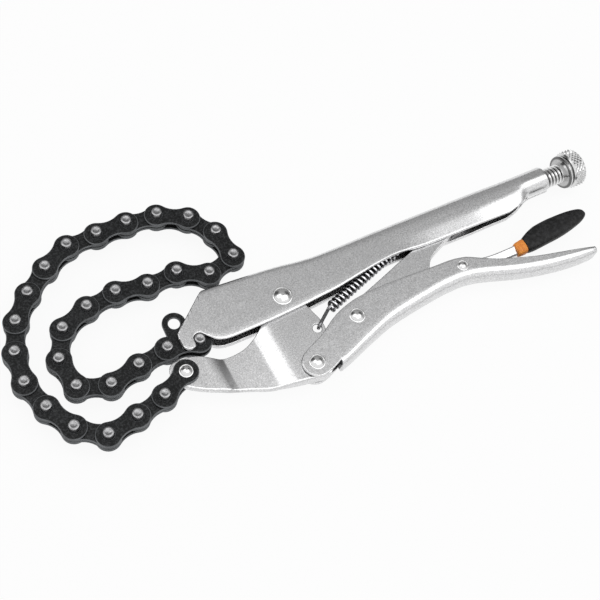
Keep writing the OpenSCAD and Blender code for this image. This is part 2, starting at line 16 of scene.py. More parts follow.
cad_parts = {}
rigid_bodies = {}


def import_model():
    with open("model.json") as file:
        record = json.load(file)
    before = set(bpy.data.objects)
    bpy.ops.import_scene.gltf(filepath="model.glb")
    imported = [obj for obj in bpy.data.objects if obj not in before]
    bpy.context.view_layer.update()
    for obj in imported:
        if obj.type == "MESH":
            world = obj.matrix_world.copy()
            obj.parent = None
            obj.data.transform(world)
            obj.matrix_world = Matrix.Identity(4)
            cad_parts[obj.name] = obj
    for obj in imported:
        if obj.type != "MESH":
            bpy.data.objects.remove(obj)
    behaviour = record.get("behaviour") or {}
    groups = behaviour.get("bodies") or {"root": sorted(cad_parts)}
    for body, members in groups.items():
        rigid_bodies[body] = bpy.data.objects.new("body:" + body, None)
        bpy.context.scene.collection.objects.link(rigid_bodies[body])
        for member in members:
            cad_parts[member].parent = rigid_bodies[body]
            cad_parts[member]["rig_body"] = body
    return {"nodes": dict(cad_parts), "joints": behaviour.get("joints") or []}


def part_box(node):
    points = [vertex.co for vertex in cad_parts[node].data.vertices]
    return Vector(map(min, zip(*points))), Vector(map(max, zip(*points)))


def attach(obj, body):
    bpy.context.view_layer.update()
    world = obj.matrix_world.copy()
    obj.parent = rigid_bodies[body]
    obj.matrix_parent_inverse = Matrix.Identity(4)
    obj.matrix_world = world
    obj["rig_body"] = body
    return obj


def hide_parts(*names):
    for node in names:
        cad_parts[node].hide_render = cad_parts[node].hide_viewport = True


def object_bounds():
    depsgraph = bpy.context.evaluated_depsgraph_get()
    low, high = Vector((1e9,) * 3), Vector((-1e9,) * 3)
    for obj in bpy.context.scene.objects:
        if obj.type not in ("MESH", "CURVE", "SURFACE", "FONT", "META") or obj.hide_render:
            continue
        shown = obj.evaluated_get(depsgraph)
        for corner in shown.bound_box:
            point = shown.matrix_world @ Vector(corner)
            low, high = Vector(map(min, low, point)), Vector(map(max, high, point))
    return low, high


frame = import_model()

bl_info = {
    "name": "Chain Oil Filter Wrench",
    "version": (1, 0, 0),
    "blender": (4, 5, 0),
    "location": "View3D > Sidebar > Wrench",
    "description": "Builds the pieces, finishes and stage of a locking chain wrench around its frame",
    "category": "Add Mesh",
}

CAD_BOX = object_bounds()
MM = 0.001
X_AXIS, Z_AXIS = Vector((1, 0, 0)), Vector((0, 0, 1))

JOINT_PLACES = {joint["name"]: Vector(joint["pos_m"]) for joint in frame["joints"] if "pos_m" in joint}
MAIN_PIVOT = JOINT_PLACES["jaw_pivot"]


def plan(place):
    """A place of the frame, in millimetres from the main pivot."""
    return (Vector(place) - MAIN_PIVOT) / MM


def joint_plan(name):
    """A joint's place, in millimetres from the main pivot."""
    return plan(JOINT_PLACES[name])


PIVOT = joint_plan("jaw_pivot")
JAW_HANDLE = joint_plan("handle_pivot")
HANDLE_LINK = joint_plan("toggle_pivot")
LEVER_PIVOT = joint_plan("lever_pivot")
LINK_COUNT = sum(1 for name in JOINT_PLACES if name.startswith("chain_joint_"))
OUTER_COUNT = (LINK_COUNT + 1) // 2
CHAIN_PINS = [joint_plan(f"chain_joint_{i + 1:02d}") for i in range(LINK_COUNT)]
LAST_PINS_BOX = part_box(f"link_pins_{OUTER_COUNT:02d}")
CHAIN_PINS.append(2 * plan((LAST_PINS_BOX[0] + LAST_PINS_BOX[1]) / 2) - CHAIN_PINS[-1])
PITCH = (CHAIN_PINS[1] - CHAIN_PINS[0]).length
ANCHOR, HOOK_PIN = CHAIN_PINS[0], CHAIN_PINS[-1]

# Half heights from the middle plane
INNER_PLATE = (0.5, 1.8)
OUTER_PLATE = (1.9, 3.2)
CHANNEL_HALF = 6.0
JAW_HALF = 3.35
TONGUE_HALF = 1.8
LOWER_HALF = 5.8
TOGGLE_HALF = 3.2
PIN_HALF = 6.6

# Line of the adjusting screw, and the end of the rolled tube that holds it
SCREW_Y = 6.1
TUBE_END = 165.0
SPRING_PEG = Vector((83, 6.4, 0))
COIL_FROM, COIL_TO = Vector((20.6, -13.6, 0)), Vector((69, 1.9, 0))
SCREW_LINE = (Vector((0, SCREW_Y, 0)), X_AXIS)
SPRING_LINE = (COIL_FROM, (COIL_TO - COIL_FROM).normalized())
EAR_HOLE = Vector((8.2, -21.8, 0))
EAR_HOLE_R = 2.3

# Angles past which an edge shades sharp, and past which a sheet's rim is rounded
SMOOTH_ANGLE = math.radians(35)
RIM_ANGLE = math.radians(50)
RIM_SEGMENTS = 2
# Vertices are welded when they share a place, end a sliver of an edge or bound a narrow strip of the jaw
WELD, SLIVER, NARROW = 1e-3, 0.06, 0.3
# How near a plane may pass a vertex and still cut there, and how near a circle a vertex counts as on it
PLANE_SLACK, CIRCLE_SLACK = 1e-4, 0.01
# The most of a side that one rounded corner takes, and the steps of its rounding
ROUND_ROOM = 0.48
ROUND_SEGMENTS = 6
# A plate's rim is rounded in two steps, and keeps a narrow flat border inside them
RIM_SHARES = (0.35, 0.65)
FLAT_BORDER = 0.15


class WrenchSizes(bpy.types.PropertyGroup):
    """Sizes of the details that the frame leaves plain."""

    rim_round: FloatProperty(
        name="Rim rounding", description="Rounding of the pressed sheet's cut edges",
        default=0.45 * MM, unit="LENGTH")
    handle_sheet: FloatProperty(
        name="Handle sheet", description="Thickness of the fixed handle's sheet",
        default=2.0 * MM, unit="LENGTH")
    lower_sheet: FloatProperty(
        name="Lower sheet", description="Thickness of the lower handle's and the jaw's sheet",
        default=1.7 * MM, unit="LENGTH")
    thread_pitch: FloatProperty(
        name="Thread pitch", description="Rise of the adjusting thread in one turn",
        default=2.1 * MM, unit="LENGTH")
    thread_depth: FloatProperty(
        name="Thread depth", description="Height of the thread from root to crest",
        default=1.3 * MM, unit="LENGTH")
    knurl_height: FloatProperty(
        name="Knurl height", description="Height of one diamond of the knob's knurl",
        default=0.8 * MM, unit="LENGTH")
    knurl_count: IntProperty(
        name="Knurl count", description="Diamonds round the knob", default=26, min=12)
    wire: FloatProperty(
        name="Spring wire", description="Diameter of the return spring's wire",
        default=1.8 * MM, unit="LENGTH")
    coils: IntProperty(name="Coils", description="Turns of the return spring", default=19, min=5)
    plate_width: FloatProperty(
        name="Plate width", description="Width of a chain plate at its pins",
        default=12.4 * MM, unit="LENGTH")
    waist_width: FloatProperty(
        name="Waist width", description="Width of a chain plate at its waist",
        default=8.6 * MM, unit="LENGTH")
    plate_edge: FloatProperty(
        name="Plate edge", description="Rounding of a chain plate's stamped edge",
        default=0.42 * MM, unit="LENGTH")
    pin_width: FloatProperty(
        name="Pin diameter", description="Diameter of a chain pin", default=5.2 * MM, unit="LENGTH")


class WrenchFinishes(bpy.types.PropertyGroup):
    """Colours of the finishes."""

    satin_steel: FloatVectorProperty(
        name="Satin steel", description="Plating of the handles and the jaw",
        subtype="COLOR", size=3, default=(0.76, 0.76, 0.765))
    rivet_steel: FloatVectorProperty(
        name="Rivet steel", description="Polished rivet heads",
        subtype="COLOR", size=3, default=(0.78, 0.78, 0.78))
    bright_steel: FloatVectorProperty(
        name="Bright steel", description="Screw and knob",
        subtype="COLOR", size=3, default=(0.74, 0.74, 0.74))
    spring_steel: FloatVectorProperty(
        name="Spring steel", description="Return spring", subtype="COLOR", size=3,
        default=(0.34, 0.34, 0.35))
    pin_steel: FloatVectorProperty(
        name="Pin steel", description="Chain pins", subtype="COLOR", size=3, default=(0.36, 0.36, 0.365))
    chain_black: FloatVectorProperty(
        name="Chain black", description="Blackened chain plates",
        subtype="COLOR", size=3, default=(0.0125, 0.013, 0.0135))
    grip_black: FloatVectorProperty(
        name="Grip black", description="Moulded grip of the lever",
        subtype="COLOR", size=3, default=(0.009, 0.009, 0.0095))
    band_orange: FloatVectorProperty(
        name="Band orange", description="Band in front of the grip",
        subtype="COLOR", size=3, default=(1.0, 0.32, 0.06))


class WrenchStage(bpy.types.PropertyGroup):
    """Camera, lights and floor."""

    bearing: FloatProperty(
        name="Bearing", description="Direction of the camera in plan, from +X",
        default=math.radians(226.293), subtype="ANGLE")
    elevation: FloatProperty(
        name="Elevation", description="Camera's height above the floor as an angle",
        default=math.radians(61.85), subtype="ANGLE")
    roll: FloatProperty(
        name="Roll", description="Turn of the camera about its line of sight",
        default=math.radians(17.27), subtype="ANGLE")
    distance: FloatProperty(
        name="Distance", description="Camera's distance from its target", default=0.54874, unit="LENGTH")
    lens: FloatProperty(name="Lens", description="Focal length in millimetres", default=67.19)
    floor: FloatVectorProperty(
        name="Floor", description="Colour of the floor and backdrop",
        subtype="COLOR", size=3, default=(0.97, 0.97, 0.97))
    sky: FloatProperty(name="Sky", description="Level of the light from all round", default=0.5)
    key: FloatProperty(
        name="Key light", description="Power of the wide front softbox", default=11.5, unit="POWER")
    side: FloatProperty(
        name="Side light", description="Power of the left softbox", default=4.2, unit="POWER")


def smooth_value(keys, x):
    """Reads a smooth curve through (x, value) keys, which doesn't overshoot between them."""
    if x <= keys[0][0]:
        return keys[0][1]
    if x >= keys[-1][0]:
        return keys[-1][1]
    i = next(k for k in range(len(keys) - 1) if x <= keys[k + 1][0])
    steps = [(b[1] - a[1]) / (b[0] - a[0]) for a, b in zip(keys, keys[1:])]

    def slope(k):
        if k == 0 or k == len(keys) - 1:
            return steps[min(k, len(steps) - 1)]
        before, after = steps[k - 1], steps[k]
        return 0.0 if before * after <= 0 else 2 * before * after / (before + after)

    width = keys[i + 1][0] - keys[i][0]
    t = (x - keys[i][0]) / width
    from_left = (1 + 2 * t) * (1 - t) ** 2 * keys[i][1] + t * (1 - t) ** 2 * width * slope(i)
    from_right = t * t * (3 - 2 * t) * keys[i + 1][1] + t * t * (t - 1) * width * slope(i + 1)
    return from_left + from_right


def even(first, last, count):
    """Evenly spaced values, both ends among them."""
    return [first + (last - first) * i / count for i in range(count + 1)]


def verts_in(geom):
    """The vertices among what an operator made."""
    return [item for item in geom if isinstance(item, bmesh.types.BMVert)]


def corners_of(faces):
    """The vertices round some faces, each once."""
    return list({vert for face in faces for vert in face.verts})


def loft(bm, sections, closed=False):
    """Extrudes a chain of edges from section to section, and gives the rows of vertices back."""
    def pairs(verts):
        return zip(verts, verts[1:] + verts[:1] if closed else verts[1:])

    rows = [[bm.verts.new(point) for point in sections[0]]]
    edges = [bm.edges.new(pair) for pair in pairs(rows[0])]
    for section in sections[1:]:
        fresh = set(verts_in(bmesh.ops.extrude_edge_only(bm, edges=edges)["geom"]))
        verts = [next(e.other_vert(v) for e in v.link_edges if e.other_vert(v) in fresh) for v in rows[-1]]
        for vert, point in zip(verts, section):
            vert.co = point
        edges = [bm.edges.get(pair) for pair in pairs(verts)]
        rows.append(verts)
    return rows


def cap_ends(bm):
    """Closes the open rings of a lofted body."""
    bmesh.ops.holes_fill(bm, edges=[e for e in bm.edges if e.is_boundary], sides=0)


def turned(bm, profile, centre, axis, steps):
    """Spins a profile of (radius, height) points about an axis into a closed turned body."""
    side = X_AXIS if abs(axis.dot(Z_AXIS)) > 0.5 else Z_AXIS
    verts = [bm.verts.new(centre + axis * height + side * radius) for radius, height in profile]
    edges = [bm.edges.new(pair) for pair in zip(verts, verts[1:])]
    bmesh.ops.spin(bm, geom=verts + edges, cent=centre, axis=axis, dvec=(0, 0, 0),
                   angle=math.tau, steps=steps, use_merge=True)


def rounded_face(bm, corners):
    """A flat face through (x, y, rounding) corners, each corner rounded over that length."""
    verts = [bm.verts.new((x, y, 0)) for x, y, _ in corners]
    bm.faces.new(verts)
    lengths = [(verts[i].co - verts[i - 1].co).length for i in range(len(verts))]
    room = [ROUND_ROOM * min(lengths[i], lengths[(i + 1) % len(verts)]) for i in range(len(verts))]
    for vert, (_, _, wanted), most in zip(verts, corners, room):
        rounding = min(wanted, most)
        if rounding:
            bmesh.ops.bevel(bm, geom=[vert], offset=rounding, offset_type="OFFSET",
                            segments=ROUND_SEGMENTS, profile=0.5, affect="VERTICES", material=-1)
    return next(iter(bm.faces))


def cut_across(bm, faces, place, normal):
    """Cuts faces along a plane, without taking anything away."""
    edges = list({edge for face in faces for edge in face.edges})
    bmesh.ops.bisect_plane(bm, geom=corners_of(faces) + edges + faces, dist=PLANE_SLACK,
                           plane_co=place, plane_no=normal)


def pierced(bm, centre, radius, segments):
    """Cuts a round hole through the flat face that holds its centre, and leaves the face in two halves."""
    face = next(f for f in bm.faces if bmesh.geometry.intersect_face_point(f, centre))
    cut_across(bm, [face], centre, X_AXIS)
    seam = next(e for e in bm.edges if all(abs(v.co.x - centre.x) < WELD for v in e.verts)
                and min(v.co.y for v in e.verts) < centre.y < max(v.co.y for v in e.verts))
    low, high = sorted(seam.verts, key=lambda v: v.co.y)
    ring = bmesh.ops.create_circle(bm, segments=segments, radius=radius,
                                   matrix=Matrix.Translation(centre))["verts"]
    halves = []
    for face in seam.link_faces:
        side = math.copysign(1, face.calc_center_median().x - centre.x)
        loop = face.verts[:]
        loop = loop[loop.index(high):] + loop[:loop.index(high)]
        if loop[1] is low:
            loop = loop[:1] + loop[:0:-1]
        bow = sorted((v for v in ring if (v.co.x - centre.x) * side > -WELD), key=lambda v: v.co.y)
        halves.append(loop + bow)
    bmesh.ops.delete(bm, geom=[seam], context="EDGES")
    for half in halves:
        bm.faces.new(half)
    bmesh.ops.remove_doubles(bm, verts=bm.verts, dist=SLIVER)


def plate_body(bm, faces, low, high, edge):
    """Gives flat faces thickness between two heights, with rounded rims and a flat border inside them."""
    less, more = (edge * share for share in RIM_SHARES)
    steps = ((less, more), (more, less), (FLAT_BORDER, 0))
    bmesh.ops.translate(bm, vec=(0, 0, low + edge), verts=corners_of(faces))
    made = bmesh.ops.extrude_face_region(bm, geom=faces)["geom"]
    top = [item for item in made if isinstance(item, bmesh.types.BMFace)]
    bmesh.ops.translate(bm, vec=(0, 0, high - low - 2 * edge), verts=corners_of(top))
    bmesh.ops.recalc_face_normals(bm, faces=bm.faces)
    for cap in (top, faces):
        for across, up in steps:
            bmesh.ops.inset_region(bm, faces=cap, thickness=across, depth=up, use_even_offset=True,
                                   use_boundary=True)


def outwards(bm, direction):
    """Turns an open sheet's faces to its outer side, read from its farthest face in a direction."""
    bmesh.ops.recalc_face_normals(bm, faces=bm.faces)
    farthest = max(bm.faces, key=lambda f: f.calc_center_median().dot(direction))
    if farthest.normal.dot(direction) < 0:
        bmesh.ops.reverse_faces(bm, faces=bm.faces)


def into_frame(bm):
    """Moves a finished shape from millimetres about the main pivot into the frame."""
    bmesh.ops.scale(bm, vec=(MM,) * 3, verts=bm.verts)
    bmesh.ops.translate(bm, vec=MAIN_PIVOT, verts=bm.verts)


def piece_from(name, bm, material, node, sheet=None, sizes=None, stamped=False):
    """Makes the object of a finished shape, rides it on its node's body and replaces the node."""
    if sheet is None:
        bmesh.ops.remove_doubles(bm, verts=bm.verts, dist=WELD)
        bmesh.ops.recalc_face_normals(bm, faces=bm.faces)
    into_frame(bm)
    mesh = bpy.data.meshes.new(name)
    bm.to_mesh(mesh)
    bm.free()
    mesh.shade_smooth()
    if sheet is None:
        mesh.set_sharp_from_angle(angle=SMOOTH_ANGLE)
    object_from(name, mesh, material, node, sheet, sizes, stamped)


def object_from(name, mesh, material, node, sheet=None, sizes=None, stamped=False):
    """Makes the object of a mesh that is in place already, and ties it to the frame."""
    piece = bpy.data.objects.new(name, mesh)
    bpy.context.scene.collection.objects.link(piece)
    mesh.materials.clear()
    mesh.materials.append(material)
    if sheet is not None:
        wall = piece.modifiers.new("Wall", "SOLIDIFY")
        wall.thickness = sheet
        wall.offset = -1
        wall.use_even_offset = True
        rim = piece.modifiers.new("Rim", "BEVEL")
        rim.width = sizes.rim_round
        rim.segments = RIM_SEGMENTS
        rim.limit_method = "ANGLE"
        rim.angle_limit = RIM_ANGLE
        rim.use_clamp_overlap = False
    if sheet is not None or stamped:
        piece.modifiers.new("Flat faces", "WEIGHTED_NORMAL").keep_sharp = True
    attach(piece, frame["nodes"][node]["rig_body"])
    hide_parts(node)


# How far a face's upright part may fall, from level faces to rims
RIM_LEANS = (0.985, 0.86)


class NodeTree:
    """An emptied node tree with short calls for the nodes that the finishes and the stage share."""

    def __init__(self, owner):
        owner.use_nodes = True
        self.nodes, self.links = owner.node_tree.nodes, owner.node_tree.links
        self.nodes.clear()

    def worked(self, kind, operation, values):
        """An arithmetic node, fed with linked values and plain numbers."""
        node = self.nodes.new(kind)
        node.operation = operation
        for socket, value in zip(node.inputs, values):
            if isinstance(value, bpy.types.NodeSocket):
                self.links.new(value, socket)
            else:
                socket.default_value = value
        return node

    def maths(self, operation, *values):
        """The result of a step of arithmetic."""
        return self.worked("ShaderNodeMath", operation, values).outputs["Value"]

    def vectors(self, operation, *values, result="Vector"):
        """The result of a step of vector arithmetic."""
        return self.worked("ShaderNodeVectorMath", operation, values).outputs[result]

    def spread(self, value, low, high, start=0.3, end=0.7):
        """A value stretched from start..end to low..high, and held there."""
        node = self.nodes.new("ShaderNodeMapRange")
        for socket, number in (("From Min", start), ("From Max", end), ("To Min", low), ("To Max", high)):
            node.inputs[socket].default_value = number
        self.links.new(value, node.inputs["Value"])
        return node.outputs["Result"]

    def shaders(self, share, first, second):
        """Two shaders mixed by a share."""
        node = self.nodes.new("ShaderNodeMixShader")
        for socket, value in zip(node.inputs, (share, first, second)):
            self.links.new(value, socket)
        return node.outputs["Shader"]


class FinishNodes(NodeTree):
    """A material's node tree, its shader and the nodes that the finishes share."""

    def __init__(self, name):
        self.material = bpy.data.materials.new(name)
        super().__init__(self.material)
        output = self.nodes.new("ShaderNodeOutputMaterial")
        self.shader = self.nodes.new("ShaderNodeBsdfPrincipled")
        self.links.new(self.shader.outputs["BSDF"], output.inputs["Surface"])
        places = self.nodes.new("ShaderNodeTexCoord").outputs
        self.coords, self.normal = places["Object"], places["Normal"]

    def noise(self, size, detail):
        """Noise whose marks are about size millimetres long."""
        texture = self.nodes.new("ShaderNodeTexNoise")
        texture.inputs["Scale"].default_value = 1 / (size * MM)
        texture.inputs["Detail"].default_value = detail
        self.links.new(self.coords, texture.inputs["Vector"])
        return texture.outputs["Fac"]

    def mixed(self, share, first, second):
        """Two colours mixed by a share that varies over the surface."""
        node = self.nodes.new("ShaderNodeMix")
        node.data_type = "RGBA"
        self.links.new(share, node.inputs[0])
        for socket, colour in ((6, first), (7, second)):
            if isinstance(colour, bpy.types.NodeSocket):
                self.links.new(colour, node.inputs[socket])
            else:
                node.inputs[socket].default_value = (*colour, 1)
        return node.outputs[2]

    def edges(self, start, end):
        """How far a place is an outer edge, from the mesh's own curvature."""
        geometry = self.nodes.new("ShaderNodeNewGeometry")
        return self.spread(geometry.outputs["Pointiness"], 0, 1, start, end)

    def along(self, vector, axis):
        """One axis's part of a vector."""
        split = self.nodes.new("ShaderNodeSeparateXYZ")
        self.links.new(vector, split.inputs["Vector"])
        return split.outputs[axis]

    def rims(self):
        """Nought on faces that lie flat, and one on the rims and sides round them."""
        upright = self.maths("ABSOLUTE", self.along(self.normal, 2))
        level, rim = RIM_LEANS
        return self.spread(upright, 1, 0, rim, level)

    def past(self, axis, low, high):
        """Nought before the low place along an axis, and one past the high one, in millimetres."""
        ends = (MAIN_PIVOT[axis] + place * MM for place in (low, high))
        return self.spread(self.along(self.coords, axis), 0, 1, *ends)

    def from_line(self, place, along, low, high):
        """Nought nearer to a line than the low radius, and one past the high one, in millimetres."""
        shifted = self.vectors("SUBTRACT", self.coords, MAIN_PIVOT + place * MM)
        across = self.vectors("CROSS_PRODUCT", shifted, along)
        return self.spread(self.vectors("LENGTH", across, result="Value"), 0, 1, low * MM, high * MM)

    def bump(self, height, strength, depth):
        """Small relief, depth in millimetres."""
        node = self.nodes.new("ShaderNodeBump")
        node.inputs["Strength"].default_value = strength
        node.inputs["Distance"].default_value = depth * MM
        self.links.new(height, node.inputs["Height"])
        self.links.new(node.outputs["Normal"], self.shader.inputs["Normal"])

    def give(self, socket, value):
        """Links a varying value to the shader."""
        self.links.new(value, self.shader.inputs[socket])

    def hold(self, **numbers):
        """Sets the shader's constant sockets."""
        for socket, number in numbers.items():
            self.shader.inputs[socket.replace("_", " ")].default_value = number


# Tones as shares of a finish's colour, with the painted shade of hollows, grooves and the collar's rim, and
# the curvature at which an edge is rubbed bright
EDGE_TONE, PAINTED_SHADE_TONE, CLOUD_TONE = 1.2, 0.2, 0.9
RUBBED_EDGES = (0.53, 0.62)
# Jaw's crease, a painted shade: where its grey starts, is deepest and ends along X, and where it fades in
# along Y
CREASE_FROM, CREASE_AT, CREASE_TO = -49, -41, -40.2
CREASE_FADE = (-40, -18)
CREASE_SHADE_TONE = 0.26
# Knob's collar, a painted shade: the radii over which its rim turns dark, and where along X the dark ends
COLLAR_DARK, COLLAR_CLEAR = (7.3, 8.1), (178.4, 178.8)
# Spring, a painted highlight and shade: the radii over which a coil turns bright, and past which the wire is
# one of the plain ends
COIL_GLINT, COIL_OUTSIDE = (2.8, 2.98), (3.25, 3.4)
COIL_SHADE_TONE, COIL_GLINT_TONE, WIRE_TONE = 0.12, 2.6, 0.5


def toned(colour, factor):
    """A colour made lighter or darker."""
    return tuple(min(1.0, channel * factor) for channel in colour)


def steel_finish(name, colour, rough, grain, relief, cloud=14.0, speck=0.3, gloss=0.06, hollow_shade=None,
                 groove=None, rubbed_and_glint=True, painted_shade=None):
    """Plated or bare steel: cloudy tone, uneven gloss, fine grain, brighter edges, and shade painted into
    hollows, grooves and given places.
    """
    tree = FinishNodes(name)
    grain_noise = tree.noise(grain, 1)
    speckled = tree.spread(grain_noise, 0, 1, 0.25, 0.75)
    tone = tree.mixed(speckled, toned(colour, 1 + speck / 2), toned(colour, 1 - speck))
    tone = tree.mixed(tree.spread(tree.noise(cloud, 3), 0, 0.25), tone, toned(colour, CLOUD_TONE))
    if rubbed_and_glint:
        tone = tree.mixed(tree.edges(*RUBBED_EDGES), tone, toned(colour, EDGE_TONE))
    # Painted shade: the hollows of the mesh are darkened
    if hollow_shade:
        tone = tree.mixed(tree.edges(*hollow_shade), toned(colour, PAINTED_SHADE_TONE), tone)
    # Painted shade: darker within the given radii of a line, such as a thread's roots
    if groove:
        tone = tree.mixed(tree.from_line(*groove), toned(colour, PAINTED_SHADE_TONE), tone)
    # Painted shade laid on by a given function, at the jaw's crease or the knob's collar
    if painted_shade:
        tone = painted_shade(tree, colour, tone)
    tree.give("Base Color", tone)
    tree.give("Roughness", tree.spread(tree.noise(grain * 6, 3), rough - gloss, rough + gloss))
    tree.bump(grain_noise, 0.35, relief)
    tree.hold(Metallic=1.0)
    return tree.material


def crease_painted_shade(tree, colour, tone):
    """Painted shade: grey before the jaw's crease, deepest at the crease and at its upper end."""
    dark = tree.mixed(tree.past(0, CREASE_FROM, CREASE_AT), tone, toned(colour, CREASE_SHADE_TONE))
    dark = tree.mixed(tree.past(0, CREASE_AT, CREASE_TO), dark, tone)
    return tree.mixed(tree.past(1, *CREASE_FADE), tone, dark)


def collar_painted_shade(tree, colour, tone):
    """Painted shade: dark round the collar's rim, in front of the knurl."""
    dark = tree.mixed(tree.from_line(*SCREW_LINE, *COLLAR_DARK), tone, toned(colour, PAINTED_SHADE_TONE))
    return tree.mixed(tree.past(0, *COLLAR_CLEAR), dark, tone)


def spring_finish(name, colour):
    """Spring wire: a painted highlight on the coils' outer side and painted shade between them, with plain
    wire at the ends.
    """
    tree = FinishNodes(name)
    # Painted highlight on the coils' outer side and painted shade between them
    rubbed_and_glint = tree.mixed(tree.from_line(*SPRING_LINE, *COIL_GLINT), toned(colour, COIL_SHADE_TONE),
                        toned(colour, COIL_GLINT_TONE))
    plain = tree.mixed(tree.spread(tree.noise(1.2, 3), 0, 1), toned(colour, WIRE_TONE), colour)
    tree.give("Base Color", tree.mixed(tree.from_line(*SPRING_LINE, *COIL_OUTSIDE), rubbed_and_glint, plain))
    tree.give("Roughness", tree.spread(tree.noise(0.8, 3), 0.24, 0.36))
    tree.bump(tree.noise(0.3, 1), 0.3, 0.02)
    tree.hold(Metallic=1.0)
    return tree.material


def chain_finish(name, colour):
    """Blackened chain steel: fine scale, oil clouds, and paler rims and sides, partly wear and partly a
    painted highlight.
    """
    tree = FinishNodes(name)
    oil = tree.spread(tree.noise(5, 4), 0, 1)
    scale = tree.noise(0.8, 4)
    base = tree.mixed(oil, toned(colour, 0.6), toned(colour, 1.2))
    scaled = tree.mixed(tree.spread(scale, 0, 0.9, 0.45, 0.72), base, toned(colour, 4.6))
    # Rims and sides paler, partly as wear and partly as a painted highlight
    wear_and_highlight = tree.mixed(oil, toned(colour, 9), toned(colour, 16))
    tree.give("Base Color", tree.mixed(tree.rims(), scaled, wear_and_highlight))
    tree.give("Roughness", tree.spread(tree.noise(2.5, 3), 0.36, 0.55))
    tree.bump(scale, 0.4, 0.06)
    tree.hold(Metallic=0.35, Specular_IOR_Level=0.2)
    return tree.material


def moulded_finish(name, colour, rough, pebble, relief, tones):
    """Moulded plastic: pebbled skin with scuffs."""
    tree = FinishNodes(name)
    pebbles = tree.noise(pebble, 2)
    scuffs = tree.spread(tree.noise(1.8, 4), 0, 1, 0.4, 0.7)
    tree.give("Base Color", tree.mixed(scuffs, *(toned(colour, factor) for factor in tones)))
    tree.give("Roughness", tree.spread(pebbles, rough - 0.08, rough + 0.1))
    tree.bump(pebbles, 0.6, relief)
    tree.hold(Specular_IOR_Level=0.3)
    return tree.material


SATIN = {"rough": 0.26, "grain": 0.7, "relief": 0.025, "gloss": 0.012, "rubbed_and_glint": False}
BRIGHT = {"rough": 0.22, "grain": 0.4, "relief": 0.02}
# Each finish: how it is made, the colour it takes and its settings, with marks in millimetres
FINISHES = {
    "satin_steel": (steel_finish, "satin_steel", SATIN),
    # The jaw's steel, with shade painted along its crease
    "crease_steel": (steel_finish, "satin_steel", {**SATIN, "painted_shade": crease_painted_shade}),
    "rivet_steel": (steel_finish, "rivet_steel",
                    {"rough": 0.17, "grain": 0.5, "relief": 0.02, "speck": 0.12}),
    "bright_steel": (steel_finish, "bright_steel", {**BRIGHT, "speck": 0.12}),
    # The screw's steel, with shade painted into the thread's roots
    "thread_steel": (steel_finish, "bright_steel", {**BRIGHT, "groove": (*SCREW_LINE, 4.3, 5.2)}),
    # The knob's steel, with shade painted into the knurl's hollows and round the collar's rim
    "knurled_steel": (steel_finish, "bright_steel",
                      {**BRIGHT, "rough": 0.2, "hollow_shade": (0.44, 0.53), "painted_shade": collar_painted_shade}),
    "spring_steel": (spring_finish, "spring_steel", {}),
    "pin_steel": (steel_finish, "pin_steel",
                  {"rough": 0.36, "grain": 0.6, "relief": 0.06, "cloud": 3.0, "speck": 0.45}),
    "chain_black": (chain_finish, "chain_black", {}),
    "grip_black": (moulded_finish, "grip_black",
                   {"rough": 0.52, "pebble": 0.5, "relief": 0.08, "tones": (0.5, 3.2)}),
    "band_orange": (moulded_finish, "band_orange",
                    {"rough": 0.4, "pebble": 0.6, "relief": 0.04, "tones": (0.85, 1.2)}),
}


def finish(name):
    """A material of a finish, made anew for the piece that takes it."""
    maker, colour, settings = FINISHES[name]
    return maker(name, tuple(getattr(bpy.context.scene.wrench_finishes, colour)), **settings)


# Hook at the nose
LOBE_R, NOTCH_R = 4.0, 2.9
MOUTH_TURN = math.radians(33)
MOUTH = HOOK_PIN + Vector((math.cos(MOUTH_TURN), math.sin(MOUTH_TURN), 0)) * NOTCH_R

# Fixed handle: (x, value) along the channel
BACK_KEYS = ((-60, 21.4), (-20, 18.8), (4, 16.8), (16, 15.2), (26, 14.4), (40, 14.5), (54, 14.7), (64, 14.8),
             (72, 14.8), (80, 14.7), (100, 14.5), (122, 14.2), (130, 14), (136, 13.8), (142, 13.7),
             (147, 13.6), (165, 13.6))
EDGE_KEYS = ((MOUTH.x, MOUTH.y), (-43.1, -4), (-40.6, -6.8), (-37.9, -8.4), (-32.7, -9.6),
             (-16.9, -9.7), (9.1, -8.8), (16, -8.3), (26, -7.6), (40, -5.6), (54, -3.6),
             (64, -2.8), (72, -3.3), (80, -4.2),
             (100, -4.9), (122, -5.3), (130, -5.5), (135.4, -5.6), (136.6, -5.3), (142.4, -4.1), (148, -2.8),
             (150.5, -1.8), (153, -1.2), (165, -1.2))
HALF_KEYS = ((-60, 6), (64, 6), (72, 6.1), (80, 6.15), (100, 6.4), (122, 6.7), (130, 6.85), (136, 7),
             (142, 7.2), (147, 7.35), (151, 7.45), (165, 7.5))
CORNER_KEYS = ((-60, 3.2), (-20, 3.2), (4, 3.4), (16, 3.8), (26, 4.2), (40, 4.8), (54, 5.2), (64, 5.4),
               (80, 5.6), (100, 5.85), (122, 6.2), (130, 6.4), (136, 6.55), (142, 6.75), (147, 6.9),
               (151, 7), (165, 7.1))
ROLL_KEYS = ((140, 0), (143, 0.06), (146, 0.22), (149, 0.55), (152, 0.9), (154.5, 1), (165, 1))
TUCK_KEYS = ((66, 0), (76, 0.35), (90, 0.7), (112, 0.8), (122, 1.5), (130, 1.9), (136, 2.1), (142, 1.9),
             (147, 1), (152, 0))
TUCK_FROM = 0.42
ROLLED_ANGLE = math.radians(86)
CORNER_STEPS = 6
WALL_ROWS = 8
LOBE = HOOK_PIN + Vector((-5.3, 0.6, 0))
NOSE_TOP = HOOK_PIN + Vector((11.6, 23.2, 0))
NOSE_LOW = HOOK_PIN + Vector((-8.5, 6.8, 0))
NOSE_TIP = HOOK_PIN + Vector((-9.3, 3.8, 0))
LIP = 1.2
CURL_KEYS = ((-44, 0), (-41, 0.45), (14, 0.45), (34, 0.2), (60, 0))
